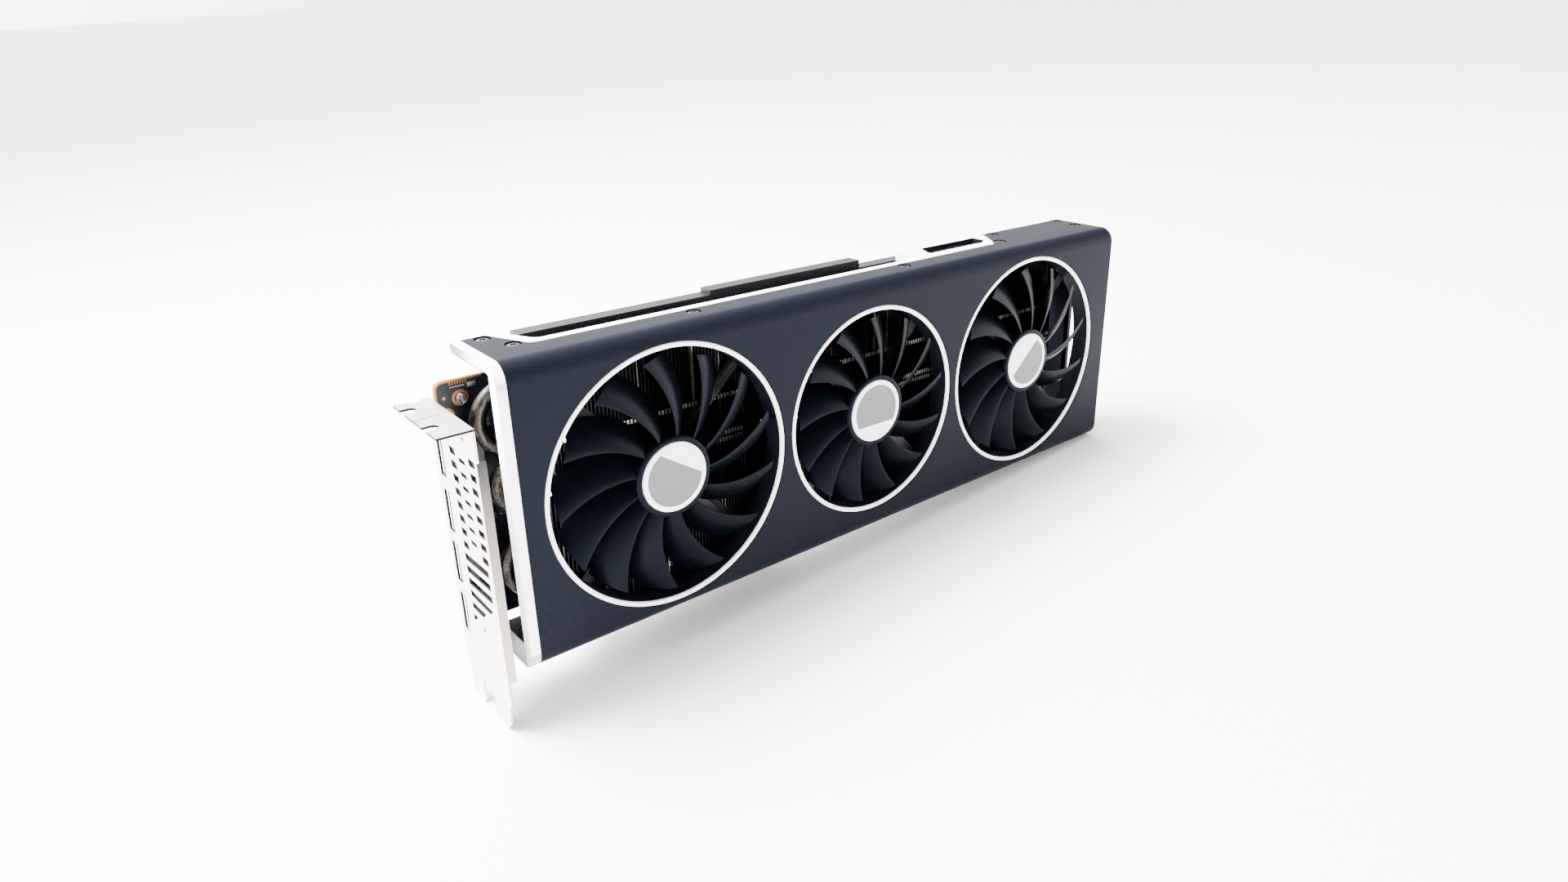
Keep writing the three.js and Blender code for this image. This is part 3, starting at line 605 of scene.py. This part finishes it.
def build_fan(fan):
    side, x, ring, _, _, phase, chord_angle, chord_offset = fan
    body = f"{side}_fan"
    inner, outer = ring - RING_WIDTH / 2, ring + RING_WIDTH / 2
    trim = lathe([(inner, 1.2), (inner, 0.45), (inner + 0.25, 0.2), (outer - 0.25, 0.2), (outer, 0.45),
                  (outer, 1.2)], x, 0, 192)
    piece(f"ring_{side}", trim, WHITE, f"ring_trim_{side}", angle=50)

    hub = lathe([
        (1.5, 1.1), (CAP_RADIUS + 0.25, 1.1), (CAP_RADIUS + 0.25, 0.55), (CAP_RADIUS + 0.5, 0.3),
        (HUB_RADIUS - 1.0, 0.3), (HUB_RADIUS - 0.4, 0.5), (HUB_RADIUS - 0.1, 0.95), (HUB_RADIUS, 1.5),
        (HUB_RADIUS, 9), (15.1, 9), (15.1, 2.3), (1.5, 2.3),
    ], x, 0, 128)
    blades = [blade(fan, phase + k * 360 / BLADES) for k in range(BLADES)]
    piece(f"rotor_{side}", merge([hub, *blades]), BLADE, f"fan_rotor_{side}", body=body, angle=40)

    half_turn = math.degrees(math.acos(chord_offset / CAP_INLAY))
    chord_ends = (chord_angle + half_turn, chord_angle + 360 - half_turn)
    inlay = prism(arc(x, 0, CAP_INLAY, *chord_ends, 96), "y", 0.03, 0.4)
    for face in inlay.data.polygons:
        face.material_index = 1
    flat = prism(arc(x, 0, CAP_INLAY, chord_angle - half_turn, chord_angle + half_turn, 64), "y", 0.0, 0.4)
    rim = lathe([(0, 0.8), (CAP_RADIUS, 0.8), (CAP_RADIUS, 0.2), (CAP_RADIUS - 0.2, 0.0),
                 (CAP_INLAY + 0.1, 0.0), (CAP_INLAY + 0.1, 0.2), (0, 0.2)], x, 0, 128)
    piece(f"cap_{side}", merge([rim, flat, inlay]), (CAP_WHITE, CAP_GREY), f"fan_cap_{side}",
          body=body, angle=50)

    reach = ring - RING_WIDTH / 2 - GAP + DUCT_WALL
    arms = []
    for angle in (45, 135, 225, 315):
        arm = box((12, 9.9, -2.5), (reach, 11.1, 2.5))
        arm.data.transform(Matrix.Translation((x, 0, 0)) @ Matrix.Rotation(math.radians(angle), 4, "Y"))
        arms.append(arm)
    sleeve = lathe([(1.5, 5), (3.1, 5), (3.1, 10.4), (1.5, 10.4)], x, 0, 32)
    base = join(drum(15, 9.9, 11.1, x, 0, 64), *arms, sleeve)
    piece(f"base_{side}", base, SOCKET, f"fan_base_{side}", bevel=0.2)


# ------------------------------------------------------------------ cooler
FIN_PITCH = 1.5
FIN_THICKNESS = 0.32
FIN_FRONT = 12.0
FIN_REAR = 24.6
FIN_REAR_AT_SOCKETS = 23.1
FIN_BOTTOM, FIN_TOP, FIN_CREST = -49.3, 51.0, 56.5
# side, first x and last x of each stack
FIN_STACKS = (("left", 25.0, 114.1), ("middle", 122.0, 227.9), ("right", 232.0, 312.7))
# bottom and top z of each row of bright lock tabs
LOCK_ROWS = ((20.8, 22.6), (2.2, 4.0), (5.0, 6.8))


def build_fins(side, x0, x1):
    """Thin sheets with folded lock tabs in rows on their front edges and crests inside the top notch."""
    thin = FIN_THICKNESS
    sheets, tabs = [], []
    x = x0
    while x < x1:
        rear = FIN_REAR_AT_SOCKETS if 233.5 < x < 274 else FIN_REAR
        sheets.append(box((x, FIN_FRONT, FIN_BOTTOM), (x + thin, rear, FIN_TOP)))
        has_crest = 36 < x < 220
        if has_crest:
            sheets.append(box((x, 21.4, FIN_TOP), (x + thin, rear, FIN_CREST)))
        if x + FIN_PITCH < x1:
            for low, high in LOCK_ROWS:
                tabs.append(box((x + thin, FIN_FRONT, low), (x + FIN_PITCH - 0.35, FIN_FRONT + 0.3, high)))
            sheets.append(box((x + thin, FIN_FRONT, -44), (x + FIN_PITCH - 0.35, FIN_FRONT + 0.3, -42)))
            for low, high in ((FIN_TOP - 0.3, FIN_TOP), (FIN_BOTTOM, FIN_BOTTOM + 0.3)):
                sheets.append(box((x + thin, 12.5, low), (x + FIN_PITCH, rear, high)))
            if has_crest:
                crest_end = (x + FIN_PITCH - 0.4, rear - 0.6, FIN_CREST)
                tabs.append(box((x + thin, 21.8, FIN_CREST - 0.3), crest_end))
        x += FIN_PITCH
    base_top = 39.4 if side == "right" else FIN_TOP
    sheets.append(box((x0, 24.0, FIN_BOTTOM), (x1, FIN_REAR, base_top)))
    comb = merge(sheets)
    locks = merge(tabs)
    for face in locks.data.polygons:
        face.material_index = 1
    piece(f"fins_{side}", merge([comb, locks]), (FIN, FIN_TAB), f"fin_stack_{side}")


# name, x where the bend starts, top and bottom z, and x where the top and the bottom leg end
PIPES = (
    ("heat_pipe_upper", 23.6, 41.0, 18.0, 228.0, 182.0),
    ("heat_pipe_middle", 23.5, 11.5, -4.5, 312.0, 182.0),
    ("heat_pipe_lower", 27.5, -17.5, -41.5, 182.0, 312.0),
)


def build_pipe(name, bend_x, top, bottom, top_end, bottom_end):
    middle, half = (top + bottom) / 2, (top - bottom) / 2
    turn = [(bend_x - half * math.sin(a), middle + half * math.cos(a))
            for a in (math.pi * i / 40 for i in range(41))]
    path = [(top_end, top), *turn, (bottom_end, bottom)]
    piece(f"{name}_tube", sweep([(x, 27.7, z) for x, z in path], 2.85, 28), PIPE, name, angle=60)


# ------------------------------------------------------------------ board
def build_board():
    edge = [
        (PCB_LEFT, PCB_RAISED, 1), (38, PCB_RAISED, 1), (40.5, PCB_BOTTOM, 1), (46, PCB_BOTTOM, 0.6),
        (46, CONTACT_END, 1), (58.5, CONTACT_END, 0.5), (58.5, PCB_BOTTOM, 0.4), (60.4, PCB_BOTTOM, 0.4),
        (60.4, CONTACT_END, 0.5), (135, CONTACT_END, 1), (135, PCB_BOTTOM, 0.6),
        (PCB_RIGHT, PCB_BOTTOM, 1), (PCB_RIGHT, PCB_TOP, 1), (PCB_LEFT, PCB_TOP, 3.0),
    ]
    slab = prism(rounded(edge, 8), "y", PCB_FRONT, PCB_BACK)
    board_holes = [(x, z) for _, x, z in BOARD_SCREWS]
    holes = [drum(1.5, 36, 40, x, z, 24) for x, z in (*board_holes, *SPRING_SCREWS)]
    notches = [box((7.6 + i * 0.95, 36, PCB_TOP - 0.55), (8.05 + i * 0.95, 40, PCB_TOP + 1))
               for i in range(7)]
    cut(slab, *holes, merge(notches))
    board = piece("board", slab, (BOARD, COPPER), "circuit_board")
    for face in board.data.polygons:
        if abs(face.normal.y) < 0.5:
            face.material_index = 1

    low, high = PCB_FRONT - 0.05, PCB_FRONT + 0.1
    rim = rounded([(PCB_LEFT, 20, 0), (20, 20, 0), (20, PCB_TOP, 0), (PCB_LEFT, PCB_TOP, 3.0)], 8)
    inner = rounded([(PCB_LEFT + 0.75, 19, 0), (21, 19, 0), (21, PCB_TOP - 0.75, 0),
                     (PCB_LEFT + 0.75, PCB_TOP - 0.75, 2.4)], 8)
    border = cut(prism(rim, "y", low, high), prism(inner, "y", 30, 40), box((19, 0, 0), (22, 99, 99)))
    trim = [border]
    for i in range(7):
        trim.append(box((7.3 + i * 0.95, low, PCB_TOP - 1.9), (7.7 + i * 0.95, high, PCB_TOP - 0.5)))
    for x, z in board_holes:
        trim.append(lathe([(1.6, low), (2.95, low), (2.95, high), (1.6, high)], x, z, 48))
    trim.append(drum(0.6, low, high, 4.9, 38.2, 20))
    piece("board_copper", merge(trim), COPPER, angle=40)

    fingers = []
    x = 47.3
    while x < 134:
        if not 57.2 < x < 61.2:
            for y0, y1 in ((PCB_FRONT - 0.05, PCB_FRONT + 0.1), (PCB_BACK - 0.1, PCB_BACK + 0.05)):
                fingers.append(box((x - 0.35, y0, CONTACT_END + 0.7), (x + 0.35, y1, CONTACT_END + 6.3)))
        x += 1.0
    piece("board_contacts", merge(fingers), GOLD)


# middle x, middle z, width and height of each small part
BOARD_CHIPS = (
    (8.2, 27.5, 2.2, 3.8), (9.4, 23.2, 1.8, 2.6), (15.8, 30.6, 1.4, 2.4), (18.6, 26.4, 1.4, 2.4),
    (12.5, -9.4, 2.6, 1.6), (16.4, -10.6, 1.4, 2.4), (20.4, -9.6, 1.4, 2.4), (10.6, 14.5, 1.4, 2.6),
    (15.5, -26.0, 1.6, 2.8), (19.6, -30.5, 1.6, 2.8), (24.0, -26.0, 2.8, 1.6), (15.0, -49.6, 2.4, 1.5),
    (19.6, 4.6, 1.5, 2.6), (24.8, 2.4, 1.5, 2.6), (25.4, 33.2, 2.4, 1.5), (29.4, 28.4, 1.5, 2.6),
)


def build_board_parts():
    """Small parts on the board's bare end, between the bracket and the cooler."""
    bodies, ends, marks = [], [], []
    solder = PCB_FRONT - 0.85
    ink_front, ink_back = PCB_FRONT - 0.03, PCB_FRONT + 0.02
    for x, z, wide, tall in BOARD_CHIPS:
        left, right = x - wide / 2, x + wide / 2
        foot, head = z - tall / 2, z + tall / 2
        bodies.append(box((left, PCB_FRONT - 0.8, foot), (right, PCB_FRONT, head)))
        for sign in (-1, 1):
            if tall > wide:
                low, high = sorted((z + sign * tall / 2, z + sign * (tall / 2 - 0.5)))
                ends.append(box((left - 0.04, solder, low - 0.04), (right + 0.04, PCB_FRONT, high + 0.04)))
            else:
                low, high = sorted((x + sign * wide / 2, x + sign * (wide / 2 - 0.5)))
                ends.append(box((low - 0.04, solder, foot - 0.04), (high + 0.04, PCB_FRONT, head + 0.04)))
        marks.append(box((left - 0.6, ink_front, foot - 0.5), (right + 0.6, ink_back, foot - 0.38)))
    ends.append(box((13.3, PCB_FRONT - 1.0, 40.9), (16.4, PCB_FRONT, 42.6)))
    for i in range(6):
        marks.append(box((7.4 + i * 0.9, ink_front, 41.5), (7.9 + i * 0.9, ink_back, 41.8)))
        marks.append(box((16 + i * 1.4, ink_front, 22.5 - i), (16.6 + i * 1.4, ink_back, 22.9 - i)))
    piece("board_parts", merge(bodies), CHIP)
    piece("board_solder_ends", merge(ends), SCREW_BRIGHT)
    piece("board_print", merge(marks), INK)

    pins = []
    for _, z, _ in PORTS:
        for row in range(3):
            for k in range(8):
                pin_x, pin_z = 5.5 + row * 3.2, z - 6 + k * 12 / 7
                pins.append(drum(0.45, PCB_BACK - 0.1, PCB_BACK + 0.5, pin_x, pin_z, 10))
    piece("board_solder_pins", merge(pins), SCREW_BRIGHT, angle=60)


def cross(radius, depth, arm):
    """The cutter of a cross recess, sunk to a depth below z = 0."""
    one = box((-radius, -arm, -depth), (radius, arm, 1))
    other = box((-arm, -radius, -depth), (arm, radius, 1))
    return join(one, other)


def screw_head(radius, height, shank, length):
    """A pan head with a cross recess, its top at z = 0 and its shank hanging down."""
    shape = lathe([
        (0, 0), (radius * 0.62, 0), (radius * 0.88, -height * 0.22), (radius, -height * 0.6),
        (radius, -height), (shank, -height), (shank, -length), (0, -length),
    ], 0, 0, 40)
    shape.data.transform(Matrix.Rotation(math.radians(90), 4, "X"))
    shape.data.flip_normals()
    return cut(shape, cross(radius * 0.55, height * 0.75, radius * 0.15))


def screw_at(kind, place, facing):
    """A screw with its head's top at a place, facing along +z, -y or +y."""
    shape = screw_head(*kind)
    turn = {"up": Matrix.Identity(4), "front": Matrix.Rotation(math.radians(90), 4, "X"),
            "back": Matrix.Rotation(math.radians(-90), 4, "X")}[facing]
    shape.data.transform(Matrix.Translation(place) @ turn @ Matrix.Rotation(math.radians(25), 4, "Z"))
    return shape


def build_screws():
    for i, (x, y) in enumerate(TOP_SCREWS):
        shape = screw_at(SHROUD_SCREW, (x, y, HALF - 0.25), "up")
        piece(f"top_screw_{i + 1}", shape, SCREW_DARK, f"shroud_screw_{i + 1}", angle=30)
    for i, (x, z) in enumerate(SPRING_SCREWS):
        shape = screw_at(SPRING_SCREW, (x, SPRING_BACK + HEAD_STAND, z), "back")
        piece(f"back_screw_{i + 1}", shape, SCREW_DARK, f"spring_screw_{i + 1}", angle=30)
    for name, x, z in BOARD_SCREWS:
        shape = screw_at(BOARD_SCREW, (x, PCB_FRONT - HEAD_STAND, z), "front")
        piece(f"{name}_head", shape, SCREW_BRIGHT, name, angle=30)


# ------------------------------------------------------------------ sockets
def build_power_socket(number, x0):
    """A header with two rows of four walled cells, a pin in each."""
    x1, y0, y1, z0, z1 = x0 + 18.3, 23.4, 33.0, 40.0, 55.8
    shell = join(box((x0, y0, z0), (x1, y1, z1)), box((x0 + 1, y1 - 1, z0 - 3), (x1 - 1, 36.7, z0 + 4)))
    cells, pins = [], []
    for i in range(4):
        for j in range(2):
            cx, cy = x0 + 2.85 + i * 4.2, 26.1 + j * 4.2
            cell = rounded([(cx - 1.85, cy - 1.85, 0.5), (cx + 1.85, cy - 1.85, 0.5),
                            (cx + 1.85, cy + 1.85, 0.5), (cx - 1.85, cy + 1.85, 0.5)], 3)
            cells.append(prism(cell, "z", 47, 60))
            pins.append(box((cx - 0.5, cy - 0.5, 46), (cx + 0.5, cy + 0.5, 54.4)))
    cut(shell, *cells)
    piece(f"power_header_{number}", shell, SOCKET, f"power_socket_{number}", bevel=0.15)
    piece(f"power_pins_{number}", merge(pins), GOLD)


def build_port(name, z, length):
    y, half, skin = PORT_Y, 2.35, 0.35
    low, high = z - length / 2, z + length / 2
    chamfer = 2.0 if name != "hdmi_socket" else 1.2
    outer = [(y - half - skin, low - skin, 0.4), (y + half + skin, low - skin, 0.4),
             (y + half + skin, high + skin, 0.4), (y - half - skin, high + skin, 0.4)]
    mouth = [(y - half, low + chamfer, 0.2), (y - half + chamfer * 0.8, low, 0.2), (y + half, low, 0.3),
             (y + half, high, 0.3), (y - half, high, 0.3)]
    shell = cut(prism(rounded(outer, 4), "x", 1.2, 14.2), prism(rounded(mouth, 4), "x", 0, 12.7))
    piece(f"{name}_shell", shell, PORT, name, bevel=0.1)
    tongue = box((4.2, y - 0.55, low + 1.4), (12.7, y + 0.55, high - 1.4))
    piece(f"{name}_tongue", tongue, SOCKET, bevel=0.15)
    contacts = []
    step = 0
    while low + 2.2 + step < high - 1.8:
        contacts.append(box((4.6, y - 0.62, low + 2.0 + step), (11, y + 0.62, low + 2.35 + step)))
        step += 1.0
    piece(f"{name}_contacts", merge(contacts), GOLD)


# ------------------------------------------------------------------ bracket
SHEET = 0.86
VENT_PITCH = 5.18
WIDE_VENT_PITCH = 5.05
SLOT_CORNER = 0.35
FOLD_WIDTH = 3.3
FOLD_BOTTOM = -58.8
FOLD_TOP = 27.0


def slot_outline(corners):
    return rounded([(u, v, SLOT_CORNER) for u, v in corners], 3)


def leaning(y, z, width, height, lean):
    """The four corners of a vent that leans to +y as it rises."""
    return [(y, z), (y + width, z), (y + width + lean, z + height), (y + lean, z + height)]


def build_bracket():
    outline = [
        (BRACKET_FRONT, TAB_TOP, 0.3), (BRACKET_FRONT, -67.6, 0.6), (3.2, -71.6, 1.5), (4.3, -78.4, 2.5),
        (7.0, -BRACKET_FOOT, 0.8), (16.6, -BRACKET_FOOT, 0.8), (16.6, -69.4, 5.0), (26.6, -69.4, 4.6),
        (26.8, -80.0, 0.8), (28.0, -BRACKET_FOOT, 0.5), (36.4, -BRACKET_FOOT, 0.5),
        (37.4, -79.6, 0.5), (37.4, -70.5, 2), (BRACKET_BACK, -63, 2),
        (BRACKET_BACK, TAB_TOP, 0.3),
    ]
    face = prism(rounded(outline, 6), "x", 0, SHEET)
    openings = []
    for _, z, length in PORTS:
        low, high = z - length / 2 - 0.15, z + length / 2 + 0.15
        openings.append([(31.5, low), (36.5, low), (36.5, high), (31.5, high)])
    for row in range(8):
        openings.append(leaning(19.2, 23.6 - row * VENT_PITCH, 4.9, 2.7, 0.6))
        openings.append(leaning(2.5, 24.2 - row * VENT_PITCH, 5.1, 2.6, 0.6))
    for row in range(7):
        openings.append(leaning(10.8, 22.7 - row * VENT_PITCH, 5.5, 1.6, 1))
    for row in range(3):
        low = -18.1 - row * WIDE_VENT_PITCH
        openings.append([(4.1, low + 0.9), (24.6, low), (25.2, low + 2.9), (4.4, low + 3.6)])
    openings.append([(7.9, -33), (24.6, -33), (25.2, -30.2), (5.2, -30.8)])
    openings.append([(15.8, -38.1), (24.7, -38.1), (25.4, -35.7), (12.1, -35.1)])
    openings.append([(20.7, -40.8), (25.2, -43.6), (25.6, -40.8)])
    cut(face, *[prism(slot_outline(corners), "x", -1, 2) for corners in openings])
    tabs = box((-TAB_REACH, BRACKET_FRONT, TAB_TOP - SHEET), (SHEET, BRACKET_BACK, TAB_TOP))
    fold = box((0, BRACKET_FRONT, FOLD_BOTTOM), (FOLD_WIDTH, BRACKET_FRONT + SHEET, FOLD_TOP))
    body = join(face, tabs, fold)
    for y in (11.1, 31.4):
        mouth = [(-14, y - 2.2, 0), (-6.6, y - 2.2, 2.19), (-6.6, y + 2.2, 2.19), (-14, y + 2.2, 0)]
        cut(body, prism(rounded(mouth, 8), "z", 37, 41))
    cut(body, box((-14, 20.5, 37), (-2.4, 21.1, 41)), post(1.9, 37, 41, -4.4, 39.6))
    piece("bracket_sheet", body, (NICKEL, OPENING_SHADE, FOLD_SHADE_RAMP), "bracket", bevel=0.12)
    # Walls of the vents, port openings and tab slots get the painted shade.
    for face in body.data.polygons:
        middle = face.center * 1000 - ORIGIN
        in_opening = abs(face.normal.x) < 0.5 and 2 < middle.y < 38 and -50 < middle.z < 36
        in_tab_slot = middle.z > 37.5 and middle.x < 0 and abs(face.normal.z) < 0.5
        if in_opening or in_tab_slot:
            face.material_index = 1
        # The fold's front faces get the painted light and shade ramp.
        elif middle.y < BRACKET_FRONT + SHEET + 0.05 and abs(face.normal.x) < 0.9 and middle.z < FOLD_TOP + 1:
            face.material_index = 2

    # The two spots stand for small stamped bumps in the sheet, drawn as thin dark marks: painted shade of the
    # stamping.
    spots = (
        [(8.7, 32.5, 0.4), (11.5, 32.1, 0.4), (12.6, 33.0, 0.4), (10.2, 34.0, 0.4)],
        [(14.7, -44.2, 0.3), (17.9, -44.5, 0.3), (15.6, -41.6, 0.3)],
    )
    marks = [prism(rounded(corners), "x", -0.03, 0.1) for corners in spots]
    for _, z, _ in PORTS:
        marks.append(box((-0.03, 28.0, z - 0.9), (0.1, 28.25, z + 0.9)))
        marks.append(box((-0.03, 28.7, z - 0.9), (0.1, 28.95, z - 0.2)))
        marks.append(box((-0.03, 28.7, z + 0.2), (0.1, 28.95, z + 0.9)))
    piece("bracket_marks", merge(marks), CHIP)


# ------------------------------------------------------------------ backplate and spring
def build_backplate():
    front, start, end, half = 41.6, 34.0, LINER_END, LINER_INNER
    rim = SHOULDER + GAP
    border = rounded([(start, -half, 2), (end, -half, 2), (end, half, 2), (start, half, 2)], 5)
    plate = prism(border, "y", front, DEPTH)
    reach = 32.5
    openings = [rounded([(GPU_X - reach, -reach, 3), (GPU_X + reach, -reach, 3), (GPU_X + reach, reach, 3),
                         (GPU_X - reach, reach, 3)], 5)]
    for column in range(6):
        x = 299 + column * 6.6
        for low in (3, -35):
            openings.append(rounded([(x, low, 1.6), (x + 4.2, low, 1.6), (x + 4.2, low + 32, 1.6),
                                     (x, low + 32, 1.6)], 5))
    cut(plate, *[prism(corners, "y", 40, 45) for corners in openings])
    behind_board = PCB_BACK + GAP
    raised_start, raised_end = 117, 199
    rims = [
        box((start, rim, half - 1.6), (end, DEPTH - 0.01, half)),
        box((start, behind_board, -half), (end, DEPTH - 0.01, 1.6 - half)),
        box((end - 1.6, rim, -half), (end, DEPTH - 0.01, half)),
        prism(rounded([(start, PCB_TOP + 1, 0), (start + 1.6, PCB_TOP + 1, 0), (start + 1.6, half + 1.7, 0),
                       (start, half + 1.7, 0)]), "y", rim, DEPTH),
        box((start, rim, half - 1.6), (raised_end, DEPTH, half + 1.7)),
        box((raised_start, rim, half - 1.6), (raised_end, DEPTH, half + 3.6)),
    ]
    posts = [drum(2.6, behind_board, 42.1, x, z, 24) for x in (42, 210, 286) for z in (38, -48)]
    body = join(plate, *rims, *posts)
    piece("back_cover", body, PLATE, "backplate", bevel=0.3)


def build_spring():
    ring = drum(13, SPRING_FRONT, SPRING_BACK, GPU_X, 0, 64)
    arms = []
    for angle in (45, -45):
        half = 27 * math.sqrt(2) + 4.5
        outline = rounded([(-half, -4.5, 4), (half, -4.5, 4), (half, 4.5, 4), (-half, 4.5, 4)], 6)
        bar = prism(outline, "y", SPRING_FRONT, SPRING_BACK)
        bar.data.transform(Matrix.Translation((GPU_X, 0, 0)) @ Matrix.Rotation(math.radians(angle), 4, "Y"))
        arms.append(bar)
    body = join(ring, *arms)
    cut(body, drum(7, 39, 42, GPU_X, 0, 48), *[drum(1.5, 39, 42, x, z, 24) for x, z in SPRING_SCREWS])
    piece("spring_cross", body, NICKEL, "retention_spring", bevel=0.15)


def dress(names, look):
    """A CAD node that stays as it is gets its look and softened edges."""
    for name in names:
        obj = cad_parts[name]
        obj.data.materials.clear()
        obj.data.materials.append(look)
        edge = obj.modifiers.new("edges", "BEVEL")
        edge.width = 0.00015
        edge.segments = 2
        edge.limit_method = "ANGLE"
        edge.angle_limit = math.radians(50)


# ------------------------------------------------------------------ floor, lights and camera
FLOOR_GAP = 0.2

# name, place, aim, size and power of each lamp, in metres and watts
LAMPS = (
    ("key", (-0.5, 0.45, 1.15), (0, 0, 0.05), (0.8, 0.6), 200),
    ("tail", (1.1, -0.7, 0.45), (0.1, 0, 0.08), (0.6, 0.6), 9),
)


def build_floor():
    """White paper under the bracket's foot and the shroud's tail edge, which the card rests on."""
    slope = math.atan2(BRACKET_FOOT - HALF, LENGTH)
    half = 30.0
    floor = raw([(-half, -half, 0), (half, -half, 0), (half, half, 0), (-half, half, 0)], [(0, 1, 2, 3)])
    floor.name = "floor"
    foot = Vector((0, 0, -BRACKET_FOOT - FLOOR_GAP)) + ORIGIN
    floor.data.transform(Matrix.Translation(foot * 0.001) @ Matrix.Rotation(-slope, 4, "Y"))
    paper = grain(material("floor_paper", (0.9, 0.9, 0.905), 0.9), 300, 0.05, 0.0001, 0.01)
    floor.data.materials.append(paper)


def build_world():
    """A sky that is bright above and behind the bracket's end and along the horizon, and dim elsewhere."""
    world = bpy.data.worlds.new("studio")
    world.use_nodes = True
    bpy.context.scene.world = world
    back = world.node_tree.nodes["Background"]
    back.inputs["Color"].default_value = (1.0, 1.0, 1.0, 1.0)
    towards = node(world, "ShaderNodeTexCoord")
    bright_side = node(world, "ShaderNodeVectorMath", operation="DOT_PRODUCT")
    bright_side.inputs[1].default_value = Vector((-0.55, 0.65, 0.5)).normalized()
    fade = node(world, "ShaderNodeMapRange")
    fade.inputs["From Min"].default_value = 0.2
    fade.inputs["From Max"].default_value = 0.95
    fade.inputs["To Min"].default_value = 0.1
    fade.inputs["To Max"].default_value = 13.0
    link(world, towards.outputs["Generated"], bright_side.inputs[0])
    link(world, bright_side.outputs["Value"], fade.inputs["Value"])
    parts = node(world, "ShaderNodeSeparateXYZ")
    height = node(world, "ShaderNodeMath", operation="ABSOLUTE")
    horizon = node(world, "ShaderNodeMapRange")
    horizon.inputs["From Min"].default_value = 0.16
    horizon.inputs["From Max"].default_value = 0.42
    horizon.inputs["To Min"].default_value = 5.0
    horizon.inputs["To Max"].default_value = 0.0
    brighter = node(world, "ShaderNodeMath", operation="MAXIMUM")
    link(world, towards.outputs["Generated"], parts.inputs["Vector"])
    link(world, parts.outputs["Z"], height.inputs[0])
    link(world, height.outputs["Value"], horizon.inputs["Value"])
    link(world, horizon.outputs["Result"], brighter.inputs[0])
    link(world, fade.outputs["Result"], brighter.inputs[1])
    link(world, brighter.outputs["Value"], back.inputs["Strength"])


def build_lamp(name, place, aim, size, power):
    data = bpy.data.lights.new(name, "AREA")
    data.shape = "RECTANGLE"
    data.size, data.size_y = size
    data.energy = power
    lamp = bpy.data.objects.new(name, data)
    bpy.context.scene.collection.objects.link(lamp)
    lamp.location = place
    lamp.rotation_euler = (Vector(aim) - Vector(place)).to_track_quat("-Z", "Y").to_euler()


def build_camera():
    """A camera at a place in the card's millimetres, turned by its right and ahead directions."""
    data = bpy.data.cameras.new("camera")
    data.sensor_width = 36
    data.lens = 23.107
    data.shift_x = -0.02883
    data.shift_y = -0.02078
    data.clip_start = 0.01
    camera = bpy.data.objects.new("camera", data)
    bpy.context.scene.collection.objects.link(camera)
    right = Vector((0.75830917, -0.65186584, -0.00617469))
    ahead = Vector((0.60615508, 0.70855646, -0.36128074))
    down = ahead.cross(right)
    turn = Matrix((right, -down, -ahead)).transposed().to_4x4()
    spot = (Vector((-106.30, -298.94, 160.60)) + ORIGIN) * 0.001
    camera.matrix_world = Matrix.Translation(spot) @ turn
    bpy.context.scene.camera = camera


# ------------------------------------------------------------------ assembly
build_shroud()
build_frame()
for fan in FANS:
    build_fan(fan)
for stack in FIN_STACKS:
    build_fins(*stack)
for pipe in PIPES:
    build_pipe(*pipe)
build_board()
build_board_parts()
build_screws()
for socket in POWER_SOCKETS:
    build_power_socket(*socket)
for port in PORTS:
    build_port(*port)
build_bracket()
build_backplate()
build_spring()
dress([f"fan_magnet_{fan[0]}" for fan in FANS], MAGNET)
dress([f"fan_shaft_{fan[0]}" for fan in FANS], SCREW_BRIGHT)
dress([f"fan_motor_{fan[0]}" for fan in FANS], WINDING)
# The cold plate takes the pipe metal with its painted shade.
dress(["cold_plate"], PIPE)
dress(["gpu_package", *[f"memory_chip_{i + 1}" for i in range(4)]], CHIP)
build_floor()
build_world()
for lamp in LAMPS:
    build_lamp(*lamp)
build_camera()
